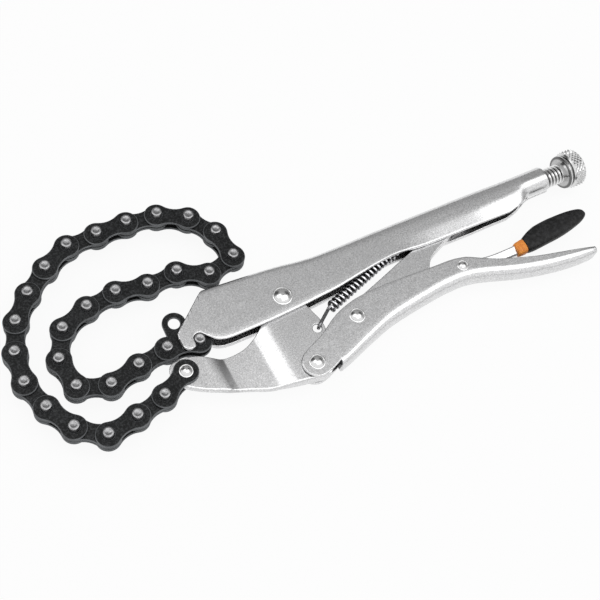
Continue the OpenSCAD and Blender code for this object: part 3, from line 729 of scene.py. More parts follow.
LOBE_STEPS, NOTCH_STEPS, MOUTH_STEPS = 9, 10, 10
MOUTH_STEP = 0.8
# Stations behind the mouth, closest where the channel rolls into the tube
CHANNEL_STATIONS = even(-35.3, 121, 40) + even(124, 134, 4) + even(135, 155, 20) + even(157, TUBE_END, 4)
# Nut in the tube's end, and the spring's peg
NUT_BORE, NUT_R, NUT_LENGTH = 5.5, 6.4, 14
NUT_SINK, NUT_CHAMFER = 0.4, 0.3
NUT_SIDES = 48
PEG_R, PEG_HALF, PEG_SIDES = 1.5, 5, 24


def handle_edge(x):
    """Height of the wall's lower edge at x, and of the row of vertices above it."""
    from_hook = x - HOOK_PIN.x
    lobe_low = LOBE.y - math.sqrt(max(0.0, LOBE_R ** 2 - min(LOBE_R, x - LOBE.x) ** 2))
    if from_hook <= -NOTCH_R:
        return lobe_low, max(HOOK_PIN.y, lobe_low + 0.1)
    if x < MOUTH.x - WELD:
        return min(lobe_low, MOUTH.y - NOTCH_R), HOOK_PIN.y + math.sqrt(NOTCH_R ** 2 - from_hook ** 2)
    edge = smooth_value(EDGE_KEYS, x)
    return edge, edge + (LIP if x > MOUTH.x + WELD else 0)


def handle_section(x):
    """The fixed handle's open section at x, from wall edge to wall edge over its back."""
    back, half = smooth_value(BACK_KEYS, x), smooth_value(HALF_KEYS, x)
    corner, roll = smooth_value(CORNER_KEYS, x), smooth_value(ROLL_KEYS, x)
    tuck = smooth_value(TUCK_KEYS, x)
    edge, shelf = handle_edge(x)
    near = [(0.0, 0.0)]
    for turn in even(0, math.pi / 2, CORNER_STEPS):
        near.append((corner * (1 - math.cos(turn)), half - corner * (1 - math.sin(turn))))
    depths = even(corner, back - shelf, WALL_ROWS - 1)[1:] + [back - edge]
    for depth in depths:
        share = (depth - corner) / (back - edge - corner)
        turn = ROLLED_ANGLE * share
        rolled = (corner * (1 + math.sin(turn)), half - corner * (1 - math.cos(turn)))
        side = half - tuck * max(0.0, share - TUCK_FROM) / (1 - TUCK_FROM)
        near.append((depth + (rolled[0] - depth) * roll, side + (rolled[1] - side) * roll))
    near[-1] = (near[-1][0], near[-1][1] - smooth_value(CURL_KEYS, x))
    upper = [Vector((x, back - depth, side)) for depth, side in reversed(near)]
    return upper + [Vector((x, back - depth, -side)) for depth, side in near[1:]]


class WRENCH_OT_fixed_handle(bpy.types.Operator):
    """Presses the fixed handle: a channel with a hooked nose, rolled into a tube round the screw"""

    bl_idname = "wrench.fixed_handle"
    bl_label = "Fixed Handle"

    def execute(self, context):
        sizes = context.scene.wrench_sizes
        lobe_end = math.acos((LOBE.x - HOOK_PIN.x + NOTCH_R) / LOBE_R)
        lobe = [LOBE.x - LOBE_R * math.cos(turn) for turn in even(0, lobe_end, LOBE_STEPS)]
        notch = [HOOK_PIN.x - NOTCH_R * math.cos(turn) for turn in even(0, math.pi - MOUTH_TURN, NOTCH_STEPS)]
        mouth = [MOUTH.x + MOUTH_STEP * (i + 1) for i in range(MOUTH_STEPS)]
        bm = bmesh.new()
        rows = loft(bm, [handle_section(x) for x in lobe + notch[1:] + mouth + CHANNEL_STATIONS])
        cut = []
        for i in range(len(lobe) - 1, len(lobe) + len(notch) - 2):
            for first in (0, len(rows[i]) - 2):
                cut.append(bm.faces.get((rows[i][first], rows[i][first + 1],
                                         rows[i + 1][first + 1], rows[i + 1][first])))
        bmesh.ops.delete(bm, geom=cut, context="FACES")
        for start, end in ((NOSE_LOW, NOSE_TOP), (NOSE_TIP, NOSE_LOW)):
            along = end - start
            bmesh.ops.bisect_plane(bm, geom=bm.verts[:] + bm.edges[:] + bm.faces[:], dist=PLANE_SLACK,
                                   plane_co=start, plane_no=(-along.y, along.x, 0), clear_outer=True)
        bmesh.ops.remove_doubles(bm, verts=bm.verts, dist=SLIVER)
        outwards(bm, Vector((0, 1, 0)))
        piece_from("pressed_fixed_handle", bm, finish("satin_steel"), "fixed_handle",
                   sizes.handle_sheet, sizes)
        nut = bmesh.new()
        front, face = TUBE_END - NUT_LENGTH, TUBE_END - NUT_SINK
        shoulder = face - NUT_CHAMFER
        nut_profile = ((NUT_BORE, front), (NUT_R, front), (NUT_R, shoulder), (NUT_R - NUT_CHAMFER, face),
                       (NUT_BORE + NUT_CHAMFER, face), (NUT_BORE, shoulder), (NUT_BORE, front))
        turned(nut, nut_profile, SCREW_LINE[0], X_AXIS, NUT_SIDES)
        peg_profile = ((0, -PEG_HALF), (PEG_R, -PEG_HALF), (PEG_R, PEG_HALF), (0, PEG_HALF))
        turned(nut, peg_profile, SPRING_PEG, Z_AXIS, PEG_SIDES)
        piece_from("screw_nut_and_spring_peg", nut, finish("bright_steel"), "fixed_handle")
        return {"FINISHED"}


# Lower handle: (x, value) along the channel, which opens upwards
SPINE_KEYS = ((9, -45.4), (16, -43.6), (24, -41), (34, -37.9), (44, -35.1), (56, -33.2), (68, -31.8),
              (80, -30.7), (88, -30.6), (96, -31.6), (104, -33.8), (112, -36.6), (122, -39.8),
              (134, -42.6), (146, -44.6), (156, -45.4), (162, -45.4), (166, -44.9))
RIDGE_KEYS = ((9, -26), (16, -21.6), (24, -18.2), (34, -16), (44, -15.4), (56, -15.6), (68, -16.2),
              (80, -16.9), (88, -17.2), (96, -18.6), (104, -22.6), (112, -26.6), (122, -30.4),
              (134, -34.3), (146, -37.2), (156, -39.5), (162, -41), (166, -42))
LOWER_HALF_KEYS = ((9, 5.8), (134, 5.8), (146, 5.7), (156, 5.5), (162, 5.2), (166, 4.8))
LOWER_CORNER_KEYS = ((9, 3.2), (16, 3.4), (24, 3.8), (34, 4.2), (44, 4.6), (56, 4.8), (122, 4.8), (134, 4.6),
                     (146, 4.4), (156, 3.8), (162, 3), (166, 2.2))
EAR_R = 7.4
WEB_START = 10.2
EAR_ARC = (math.radians(108), math.radians(276))
EAR_TOP = ((7.4, -26.7), (4.5, -27.9), (1.2, -29.1), (-1.6, -30.2))
EAR_FOOT = ((1.4, -45.3), (3.4, -44.7), (5.4, -44), (7, -43.4), (8.3, -42.9), (9.4, -42.4))
EAR_STEPS = 20
# Stations from the web's start, closing up towards the tail's tip
LOWER_STATIONS = [WEB_START] + even(13, 154, 47) + [157, 159.5, 161.5, 163, 164.2, 165.1, 166]


def lower_section(x):
    """The lower handle's open section at x, from wall edge to wall edge round its spine."""
    half, corner = smooth_value(LOWER_HALF_KEYS, x), smooth_value(LOWER_CORNER_KEYS, x)
    spine, ridge = smooth_value(SPINE_KEYS, x), smooth_value(RIDGE_KEYS, x)
    knee = spine + corner
    near = [(spine, 0.0)]
    for turn in even(0, math.pi / 2, CORNER_STEPS):
        near.append((spine + corner * (1 - math.cos(turn)), half - corner * (1 - math.sin(turn))))
    near += [(height, half) for height in even(knee, ridge, WALL_ROWS)[1:]]
    upper = [Vector((x, height, side)) for height, side in reversed(near)]
    return upper + [Vector((x, height, -side)) for height, side in near[1:]]


class WRENCH_OT_lower_handle(bpy.types.Operator):
    """Presses the lower handle: a curved channel with two ears at the jaw and a tapered tail"""

    bl_idname = "wrench.lower_handle"
    bl_label = "Lower Handle"

    def execute(self, context):
        sizes = context.scene.wrench_sizes
        bm = bmesh.new()
        front = loft(bm, [lower_section(x) for x in LOWER_STATIONS])[0]
        arc = [on_circle(JAW_HANDLE, EAR_R, turn) for turn in even(*EAR_ARC, EAR_STEPS)]
        outline = [Vector(place) for place in EAR_TOP] + [place.xy for place in arc] + [
            Vector(place) for place in EAR_FOOT]
        for wall in (front[:WALL_ROWS + 1], front[:-WALL_ROWS - 2:-1]):
            ear = [bm.verts.new((place.x, place.y, wall[0].co.z)) for place in outline]
            bm.faces.new(ear + wall[::-1])
        bmesh.ops.remove_doubles(bm, verts=bm.verts, dist=WELD)
        outwards(bm, Vector((0, -1, 0)))
        piece_from("pressed_lower_handle", bm, finish("satin_steel"), "lower_handle",
                   sizes.lower_sheet, sizes)
        return {"FINISHED"}


# Jaw: (x, y, rounding) round its side view, and its half thickness along x
JAW_CORNERS = ((-66.6, -8.4, 6.2), (-57.5, -8.2, 3), (-50.2, -10, 3), (-45.5, -13.6, 2.2), (-41, -16.6, 2.2),
               (-34, -17, 2.6), (-27.7, -16, 2.6), (-20.3, -12.2, 3), (-14, -7, 3), (-8.4, 2.4, 2.6),
               (-8.4, 8.4, 5), (8.4, 8.4, 6), (9.2, -8.1, 1.6), (10.1, -11.5, 1.6), (12.2, -18.4, 2.4),
               (12.2, -25, 2.6), (5.8, -27.4, 1.2), (6.2, -38.2, 2), (6.2, -42.4, 0), (3.4, -45.6, 0),
               (-1.2, -45.5, 0), (-11, -43.6, 3), (-27, -40.6, 3), (-36, -36.5, 3),
               (-42, -34.2, 3), (-56, -27.2, 3),
               (-62.4, -22.8, 2.2), (-66.4, -18.6, 2.4))
PINCH_KEYS = ((-50, TONGUE_HALF), (-45.4, 1.9), (-44.2, 1.84), (-41.4, 1.36), (-40.4, 1.32), (-38.6, 1.34),
              (-32, 1.5), (-27, 1.66), (-23.6, 1.8), (-22.8, 1.84), (-12.5, 3.26), (-9, JAW_HALF))
# Lines across the sheet at which it may bend, closest at the crease
JAW_BENDS = (even(-54, -46, 4) + even(-45.2, -37.2, 10) + even(-36, -24.8, 7) + even(-24, -22, 4)
             + even(-20.6, -7.3, 9))
# Sides that the sheet is folded over: how far they face down, and below and before which place they lie
SPINE_FACING, SPINE_TOP, SPINE_END = -0.35, -17.5, 1.5
SPINE_ROUND, SPINE_SEGMENTS = 1.25, 4
EAR_HOLE_SIDES = 24
EAR_FROM = 4.6
EAR_ROWS = (-16.0, -28.8)
FAR_CUT_TOP, FAR_CUT_LOW = Vector((10.1, -11.5, 0)), Vector((5.6, -27, 0))


class WRENCH_OT_movable_jaw(bpy.types.Operator):
    """Folds the movable jaw from one sheet: wide at the rivets, pinched flat at the tongue"""

    bl_idname = "wrench.movable_jaw"
    bl_label = "Movable Jaw"

    def execute(self, context):
        sizes = context.scene.wrench_sizes
        bm = bmesh.new()
        rounded_face(bm, JAW_CORNERS)
        for x in JAW_BENDS + [EAR_FROM]:
            cut_across(bm, bm.faces[:], (x, 0, 0), X_AXIS)
        bmesh.ops.remove_doubles(bm, verts=bm.verts, dist=NARROW)
        for y in EAR_ROWS:
            ear = [f for f in bm.faces if f.calc_center_median().x > EAR_FROM]
            cut_across(bm, ear, (0, y, 0), (0, 1, 0))
        pierced(bm, EAR_HOLE, EAR_HOLE_R, EAR_HOLE_SIDES)
        top = set(verts_in(bmesh.ops.extrude_face_region(bm, geom=bm.faces[:])["geom"]))
        for vert in bm.verts:
            vert.co.z = smooth_value(PINCH_KEYS, vert.co.x) * (1 if vert in top else -1)
        bmesh.ops.recalc_face_normals(bm, faces=bm.faces)
        sides = [f for f in bm.faces if len({v in top for v in f.verts}) == 2]
        spine = [f for f in sides if f.normal.y < SPINE_FACING and f.calc_center_median().y < SPINE_TOP
                 and f.calc_center_median().x < SPINE_END]
        bmesh.ops.delete(bm, geom=[f for f in sides if f not in spine], context="FACES")
        self.trim_far_ear(bm)
        folds = [e for f in spine if f.is_valid for e in f.edges
                 if len({v in top for v in e.verts}) == 1 and len(e.link_faces) == 2]
        bmesh.ops.bevel(bm, geom=folds, offset=SPINE_ROUND, offset_type="OFFSET",
                        segments=SPINE_SEGMENTS, profile=0.5, affect="EDGES", material=-1,
                        clamp_overlap=False)
        outwards(bm, Vector((0, -1, 0)))
        # The jaw's finish paints shade along its crease
        piece_from("folded_jaw", bm, finish("crease_steel"), "movable_jaw",
                   sizes.lower_sheet, sizes)
        return {"FINISHED"}

    def trim_far_ear(self, bm):
        """Cuts the spring's ear off the far wall, which ends straight behind it."""
        rim = [e for e in bm.edges if e.is_boundary and all(
            v.co.z < 0 and abs((v.co.xy - EAR_HOLE.xy).length - EAR_HOLE_R) < CIRCLE_SLACK for v in e.verts)]
        bmesh.ops.contextual_create(bm, geom=rim)
        along = FAR_CUT_TOP - FAR_CUT_LOW
        outside = Vector((along.y, -along.x, 0))

        def far_ear():
            centres = {f: f.calc_center_median() for f in bm.faces}
            return [f for f, c in centres.items() if c.z < 0 and c.x > EAR_FROM and c.y > EAR_ROWS[1]]

        cut_across(bm, far_ear(), FAR_CUT_TOP, outside)
        spare = [f for f in far_ear() if (f.calc_center_median() - FAR_CUT_TOP).dot(outside) > 0]
        bmesh.ops.delete(bm, geom=spare, context="FACES")


# Flat bars: (x, y, rounding) round their side views
TOGGLE_CORNERS = ((22.8, -24.8, 0), (23.2, -20.4, 3), (27, -18.6, 2), (38, -15, 3), (54, -10, 3),
                  (68, -5.4, 3), (90, 1.8, 3), (111.2, 8.8, 2), (116.6, 8.6, 3), (117.6, 2.2, 3),
                  (114.8, 0.4, 2),
                  (104, -1.8, 3), (97, -4.6, 3), (89.5, -7.4, 3), (83, -10.4, 3), (79.6, -13, 1.8),
                  (77.6, -16.4, 1.6), (70, -19.4, 3), (55, -23.2, 3), (44, -27.4, 3), (31, -30.4, 3),
                  (24.2, -29.8, 3.2))
BLADE_CORNERS = ((127, -27.6, 0), (112, -27.4, 0), (98, -27.4, 3), (90, -27.2, 3), (84, -23.4, 2),
                 (80.6, -20.2, 1), (86, -18.8, 2), (93, -18.4, 3), (101, -20.4, 4), (112, -22.4, 4),
                 (127, -22.5, 3),
                 (150, -20.4, 0), (150, -24.2, 0))
BLADE_HALF = 1.5
HUB_R, HUB_HALF, HUB_CHAMFER = 4.4, 3.7, 0.4
HUB_SIDES = 40
BAR_EDGE, BLADE_EDGE = 0.4, 0.8
# The blade twists along this span, by this slope about its middle line
TWIST, TWIST_SPAN, BLADE_MIDDLE = 0.25, (98, 112), -24.6
TWIST_STEPS = 6


class WRENCH_OT_toggle_link(bpy.types.Operator):
    """Cuts the toggle link that holds the handles locked"""

    bl_idname = "wrench.toggle_link"
    bl_label = "Toggle Link"

    def execute(self, context):
        bm = bmesh.new()
        plate_body(bm, [rounded_face(bm, TOGGLE_CORNERS)], -TOGGLE_HALF, TOGGLE_HALF, BAR_EDGE)
        piece_from("toggle_link_bar", bm, finish("satin_steel"), "toggle_link", stamped=True)
        return {"FINISHED"}


# Grip and band: (x, middle y, half width, half height) of their oval rings
GRIP_RINGS = ((132.9, -24.6, 3.3, 2.6), (133.2, -24.55, 3.9, 3.0), (135.5, -24.1, 4.7, 3.22),
              (139, -23.4, 5.4, 3.4), (144, -22.6, 5.9, 3.5), (151, -22.1, 6, 3.5),
              (157, -21.8, 5.7, 3.5), (163, -21.4, 5.1, 3.43),
              (168, -21.1, 4.3, 3.25), (172, -20.9, 3.3, 2.8), (174.2, -20.8, 2.2, 2.1),
              (175.4, -20.8, 1, 1.05))
BAND_RINGS = ((126.8, -25.1, 2.7, 2.2), (127.1, -25.1, 3.2, 2.6), (128, -25, 3.6, 2.9),
              (130, -24.85, 3.85, 3.0), (132, -24.7, 3.95, 3.05), (132.7, -24.6, 3.7, 2.9),
              (132.95, -24.6, 3.2, 2.5))
GRIP_SIDES = 32
GRIP_SQUARE = 3.2
GRIP_STATIONS = (even(GRIP_RINGS[0][0], GRIP_RINGS[1][0], 2)[:-1] + even(GRIP_RINGS[1][0], 172, 90)
                 + [173, 173.8, 174.4, 174.9, 175.2, 175.4])
BAND_STATIONS = even(BAND_RINGS[0][0], BAND_RINGS[-1][0], 20)


def oval_ring(x, y, half_width, half_height):
    """An oval section across X, squarer than an ellipse."""
    ring = []
    for i in range(GRIP_SIDES):
        turn = math.tau * i / GRIP_SIDES
        across = math.copysign(abs(math.cos(turn)) ** (2 / GRIP_SQUARE), math.cos(turn))
        up = math.copysign(abs(math.sin(turn)) ** (2 / GRIP_SQUARE), math.sin(turn))
        ring.append(Vector((x, y + half_width * across, half_height * up)))
    return ring


def moulded(rings, stations):
    """A closed moulding of oval sections, read smoothly between the given rings."""
    sections = []
    for x in stations:
        sizes = (smooth_value([(ring[0], ring[k]) for ring in rings], x) for k in (1, 2, 3))
        sections.append(oval_ring(x, *sizes))
    bm = bmesh.new()
    loft(bm, sections, closed=True)
    cap_ends(bm)
    return bm


class WRENCH_OT_release_lever(bpy.types.Operator):
    """Makes the release lever, its moulded grip and the band in front of it"""

    bl_idname = "wrench.release_lever"
    bl_label = "Release Lever"

    def execute(self, context):
        bm = bmesh.new()
        rounded_face(bm, BLADE_CORNERS)
        for x in even(*TWIST_SPAN, TWIST_STEPS):
            cut_across(bm, bm.faces[:], (x, 0, 0), X_AXIS)
        plate_body(bm, bm.faces[:], -BLADE_HALF, BLADE_HALF, BLADE_EDGE)
        for vert in bm.verts:
            share = min(1.0, max(0.0, (vert.co.x - TWIST_SPAN[0]) / (TWIST_SPAN[1] - TWIST_SPAN[0])))
            vert.co.z += TWIST * share * (vert.co.y - BLADE_MIDDLE)
        side, end = HUB_R - HUB_CHAMFER, HUB_HALF - HUB_CHAMFER
        hub = ((0, -HUB_HALF), (side, -HUB_HALF), (HUB_R, -end), (HUB_R, end), (side, HUB_HALF),
               (0, HUB_HALF))
        turned(bm, hub, LEVER_PIVOT, Z_AXIS, HUB_SIDES)
        piece_from("release_lever_blade", bm, finish("satin_steel"), "release_lever")
        piece_from("moulded_grip", moulded(GRIP_RINGS, GRIP_STATIONS), finish("grip_black"), "lever_grip")
        piece_from("grip_colour_band", moulded(BAND_RINGS, BAND_STATIONS), finish("band_orange"), "grip_band")
        return {"FINISHED"}


# Rivets: node, place, wall height, head radius, head height
RIVETS = (("pivot_rivet", PIVOT, CHANNEL_HALF, 4.9, 1.5),
          ("handle_rivet", JAW_HANDLE, LOWER_HALF, 3.9, 1.4),
          ("link_rivet", HANDLE_LINK, LOWER_HALF, 3.9, 1.4),
          ("lever_rivet", LEVER_PIVOT, LOWER_HALF, 2.9, 1.1),
          ("chain_anchor_rivet", ANCHOR, OUTER_PLATE[1], 3.4, 1.6))
SHANK_SHARE, DOME_SHARE = 0.72, 0.88
DOME_RINGS = (0.97, 0.92, 0.84, 0.74, 0.62, 0.5, 0.36, 0.2, 0.0)
RIVET_SIDES = 56


def head_profile(wall, radius, height):
    """Half a rivet's turned profile, from its shank over a collar to its dome's crown."""
    dome = radius * DOME_SHARE
    ball = (dome * dome + height * height) / (2 * height)
    profile = [(radius * SHANK_SHARE, wall - 0.05), (radius, wall - 0.02), (radius, wall + 0.16),
               (radius - 0.12, wall + 0.24), (dome + 0.1, wall + 0.24), (dome, wall + 0.1)]
    for share in DOME_RINGS:
        profile.append((dome * share, wall + height - ball + math.sqrt(ball * ball - (dome * share) ** 2)))
    return profile


class WRENCH_OT_rivets(bpy.types.Operator):
    """Turns the domed rivets at the joints and at the chain's anchor"""

    bl_idname = "wrench.rivets"
    bl_label = "Rivets"

    def execute(self, context):
        for node, place, wall, radius, height in RIVETS:
            bm = bmesh.new()
            upper = head_profile(wall, radius, height)
            lower = [(r, -h) for r, h in reversed(upper)]
            turned(bm, lower + upper, place, Z_AXIS, RIVET_SIDES)
            piece_from(f"domed_{node}", bm, finish("rivet_steel"), node)
        return {"FINISHED"}


# Screw: radii, and places along its line
SHANK_R, THREAD_R, SHOULDER_R, CORE_R = 3.4, 5.4, 5.3, 3
SCREW_TIP, THREAD_FROM, SHOULDER, COLLAR_FACE, SCREW_END = 118.4, 152.0, 175.6, 178.4, 185.5
THREAD_STEPS = 40
# One ridge of the thread: half widths at root and crest as shares of the pitch, and its sink into the core
RIDGE_HALF, CREST_HALF, RIDGE_SINK = 0.44, 0.08, 0.1
# Knob: (radius, place) of its collar and neck, and of its back behind the knurl
KNOB_R, COLLAR_R = 9.9, 9.2
KNOB_FRONT = ((3.0, 178.3), (5.0, 178.25), (7.6, 177.8), (8.5, 177.6), (8.95, 177.85), (COLLAR_R, 178.4),
              (COLLAR_R, 179.1), (8.95, 179.65), (8.5, 179.9), (8.4, 179.95), (8.4, 180.65), (8.6, 180.7),
              (9.15, 180.8))
KNOB_BACK = ((9.2, 188.3), (8.7, 188.5), (7.4, 188.5), (6.6, 188.2), (0, 188.1))
KNURL_FROM, KNURL_TO = 181.5, 187.7
KNURL_ROOT, KNURL_FLOOR = KNOB_R - 0.3, KNOB_R - 0.6
KNURL_ROWS = 3


class WRENCH_OT_screw_and_knob(bpy.types.Operator):
    """Turns the adjusting screw with its cut thread, and the knob with its diamond knurl"""

    bl_idname = "wrench.screw_and_knob"
    bl_label = "Screw and Knob"

    def execute(self, context):
        sizes = context.scene.wrench_sizes
        axis_place = SCREW_LINE[0]
        root = THREAD_R - sizes.thread_depth / MM
        bm = bmesh.new()
        profile = ((0, SCREW_TIP), (2.0, SCREW_TIP), (2.4, SCREW_TIP + 0.2), (SHANK_R, SCREW_TIP + 1.2),
                   (SHANK_R, THREAD_FROM - 1), (root, THREAD_FROM), (root, SHOULDER),
                   (SHOULDER_R - 0.3, SHOULDER + 0.3), (SHOULDER_R, SHOULDER + 0.6),
                   (SHOULDER_R, COLLAR_FACE), (CORE_R, COLLAR_FACE), (CORE_R, SCREW_END), (0, SCREW_END))
        turned(bm, profile, axis_place, X_AXIS, THREAD_STEPS)
        pitch = sizes.thread_pitch / MM
        turns = int((SHOULDER - THREAD_FROM) / pitch)
        ridge = ((-RIDGE_HALF, root - RIDGE_SINK), (-CREST_HALF, THREAD_R), (CREST_HALF, THREAD_R),
                 (RIDGE_HALF, root - RIDGE_SINK))
        verts = [bm.verts.new((THREAD_FROM + pitch * 0.5 + x * pitch, SCREW_Y, r)) for x, r in ridge]
        edges = [bm.edges.new(pair) for pair in zip(verts, verts[1:] + verts[:1])]
        bmesh.ops.spin(bm, geom=verts + edges, cent=axis_place, axis=X_AXIS,
                       dvec=(pitch / THREAD_STEPS, 0, 0), angle=math.tau * turns,
                       steps=THREAD_STEPS * turns, use_merge=False)
        cap_ends(bm)
        piece_from("cut_adjusting_screw", bm, finish("thread_steel"), "adjusting_screw")

        knob = bmesh.new()
        band = tuple((KNURL_ROOT, x) for x in even(KNURL_FROM, KNURL_TO, KNURL_ROWS))
        turned(knob, KNOB_FRONT + band + KNOB_BACK, axis_place, X_AXIS, sizes.knurl_count)
        bmesh.ops.remove_doubles(knob, verts=knob.verts, dist=WELD)
        bmesh.ops.recalc_face_normals(knob, faces=knob.faces)
        squares = [f for f in knob.faces
                   if all(abs((v.co - axis_place).yz.length - KNURL_ROOT) < CIRCLE_SLACK for v in f.verts)]
        crossed = [e for e in {edge for f in squares for edge in f.edges}
                   if all(f in squares for f in e.link_faces)]
        bmesh.ops.poke(knob, faces=squares, offset=0.0, center_mode="MEAN")
        bmesh.ops.dissolve_edges(knob, edges=crossed, use_verts=False)
        diamonds = [f for f in knob.faces if KNURL_FROM < f.calc_center_median().x < KNURL_TO
                    and (f.calc_center_median() - axis_place).yz.length > KNURL_FLOOR]
        bmesh.ops.poke(knob, faces=diamonds, offset=sizes.knurl_height / MM, center_mode="MEAN")
        piece_from("diamond_knurled_knob", knob, finish("knurled_steel"), "knurled_knob")
        return {"FINISHED"}


COIL_MEAN_R = 2.2
COIL_STEPS = 24
WIRE_SIDES = 12
HOOK_AT = EAR_HOLE + Vector((1.2, 0.4, 0))
# Heights up the hook, then (reach, height) round its bend
HOOK_RISE = (1.4, 2.4, 3.4, 4.0)
HOOK_BEND = ((0.25, 4.38), (0.7, 4.6))
# Shares along the lead and the tail, how far the lead ends before the coil, and the tail's bow and end height
LEAD_SHARES, TAIL_SHARES = (0.12, 0.35, 0.65, 0.9), (0.12, 0.4, 0.7, 1.0)
LEAD_GAP, TAIL_BOW, TAIL_TOP = 1.2, 0.4, 2.2


def coil_path(coils):
    """The spring wire's line: a hook in the jaw's ear, a straight lead, the coil and a tail to its peg."""
    along = (COIL_TO - COIL_FROM).normalized()
    normal = Vector((-along.y, along.x, 0))
    pitch = (COIL_TO - COIL_FROM).length / coils

    def coil_point(turns):
        turn = math.tau * turns + math.pi / 2
        return (COIL_FROM + along * pitch * turns + normal * COIL_MEAN_R * math.cos(turn)
                + Z_AXIS * COIL_MEAN_R * math.sin(turn))

    coil = [coil_point(i / COIL_STEPS) for i in range(coils * COIL_STEPS + 1)]
    lead_end = coil[0] - along * LEAD_GAP
    lead_aim = (Vector((lead_end.x, lead_end.y, 0)) - HOOK_AT).normalized()
    hook = [HOOK_AT + Z_AXIS * height for height in HOOK_RISE]
    hook += [HOOK_AT + lead_aim * reach + Z_AXIS * height for reach, height in HOOK_BEND]
    lead = [hook[-1].lerp(lead_end, share) for share in LEAD_SHARES]
    peg_top = SPRING_PEG + Z_AXIS * TAIL_TOP
    tail = [coil[-1].lerp(peg_top, share) + along * TAIL_BOW * (1 - share) for share in TAIL_SHARES]
    return hook + lead + [lead_end] + coil + tail


class WRENCH_OT_return_spring(bpy.types.Operator):
    """Winds the return spring from round wire, hooked into the jaw's ear"""

    bl_idname = "wrench.return_spring"
    bl_label = "Return Spring"

    def execute(self, context):
        sizes = context.scene.wrench_sizes
        path = coil_path(sizes.coils)
        bm = bmesh.new()
        ring = bmesh.ops.create_circle(bm, segments=WIRE_SIDES, radius=sizes.wire / MM / 2)["verts"]
        shape = [vert.co.copy() for vert in ring]
        bmesh.ops.delete(bm, geom=bm.verts[:], context="VERTS")
        turn = (path[1] - path[0]).to_track_quat("Z", "X")
        sections = []
        for i, place in enumerate(path):
            tangent = (path[min(i + 1, len(path) - 1)] - path[max(i - 1, 0)]).normalized()
            turn = (turn @ Z_AXIS).rotation_difference(tangent) @ turn
            sections.append([place + turn @ point for point in shape])
        loft(bm, sections, closed=True)
        cap_ends(bm)
        piece_from("wound_return_spring", bm, finish("spring_steel"), "return_spring")
        return {"FINISHED"}


PIN_HOLE_GAP = 0.12
BUSH_R, BUSH_LAP = 3.8, 0.3
HOLE_SIDES, PIN_SIDES = 28, 32
HANG_EAR = Vector((PITCH / 2 - 1.4, 11.8, 0))
HANG_HOLE_R, HANG_RIM = 2.9, 3.0
ARC_STEP = math.radians(9)


def drawn_arc(bm, start, centre, angle):
    """Spins a vertex about a centre into an arc of edges, and gives its last vertex back."""
    steps = max(2, round(abs(angle) / ARC_STEP))
    made = bmesh.ops.spin(bm, geom=[start], cent=centre, axis=Z_AXIS, dvec=(0, 0, 0), angle=angle,
                          steps=steps, use_merge=False)
    return verts_in(made["geom_last"])[0]


def on_circle(centre, radius, angle):
    """A point on a circle in plan."""
    return centre + Vector((radius * math.cos(angle), radius * math.sin(angle), 0))


def side_meets_circle(place, along, centre, radius):
    """Where a line going along meets a circle, at its farther crossing."""
    back = place - centre
    half = back.dot(along)
    return place + along * (math.sqrt(half * half - back.length_squared + radius * radius) - half)


def plate_face(bm, sizes, with_ear):
    """A chain plate's flat outline with its holes, from its first pin at the origin along X."""
    radius, waist = sizes.plate_width / MM / 2, sizes.waist_width / MM / 2
    ends = (Vector((0, 0, 0)), Vector((PITCH, 0, 0)))
    middle = Vector((PITCH / 2, 0, 0))
    dish = ((PITCH / 2) ** 2 + waist ** 2 - radius ** 2) / (2 * (radius - waist))
    dish_turn = math.atan2(PITCH / 2, waist + dish)
    meet = math.pi / 2 + dish_turn
    first = bm.verts.new(on_circle(ends[1], radius, -meet))
    if with_ear:
        ear_r = HANG_HOLE_R + HANG_RIM
        along = (HANG_EAR - middle).normalized()
        right = Vector((along.y, -along.x, 0))
        right_meet = side_meets_circle(middle + right * ear_r, along, ends[1], radius) - ends[1]
        left_meet = side_meets_circle(middle - right * ear_r, along, ends[0], radius) - ends[0]
        right_turn, left_turn = (math.atan2(v.y, v.x) for v in (right_meet, left_meet))
        last = drawn_arc(bm, first, ends[1], meet + right_turn)
        ear_start = bm.verts.new(HANG_EAR + right * ear_r)
        bm.edges.new((last, ear_start))
        ear_end = drawn_arc(bm, ear_start, HANG_EAR, math.pi)
        back = bm.verts.new(ends[0] + left_meet)
        bm.edges.new((ear_end, back))
        last = drawn_arc(bm, back, ends[0], math.pi + meet - left_turn)
    else:
        last = drawn_arc(bm, first, ends[1], 2 * meet)
        last = drawn_arc(bm, last, middle + Vector((0, waist + dish, 0)), -2 * dish_turn)
        last = drawn_arc(bm, last, ends[0], 2 * meet)
    drawn_arc(bm, last, middle - Vector((0, waist + dish, 0)), -2 * dish_turn)
    bmesh.ops.remove_doubles(bm, verts=bm.verts, dist=WELD)
    hole = sizes.pin_width / MM / 2 + PIN_HOLE_GAP
    holes = [(centre, hole) for centre in ends] + ([(HANG_EAR, HANG_HOLE_R)] if with_ear else [])
    bmesh.ops.contextual_create(bm, geom=bm.edges[:])
    for centre, hole_r in holes:
        pierced(bm, centre, hole_r, HOLE_SIDES)
    return bm.faces[:]


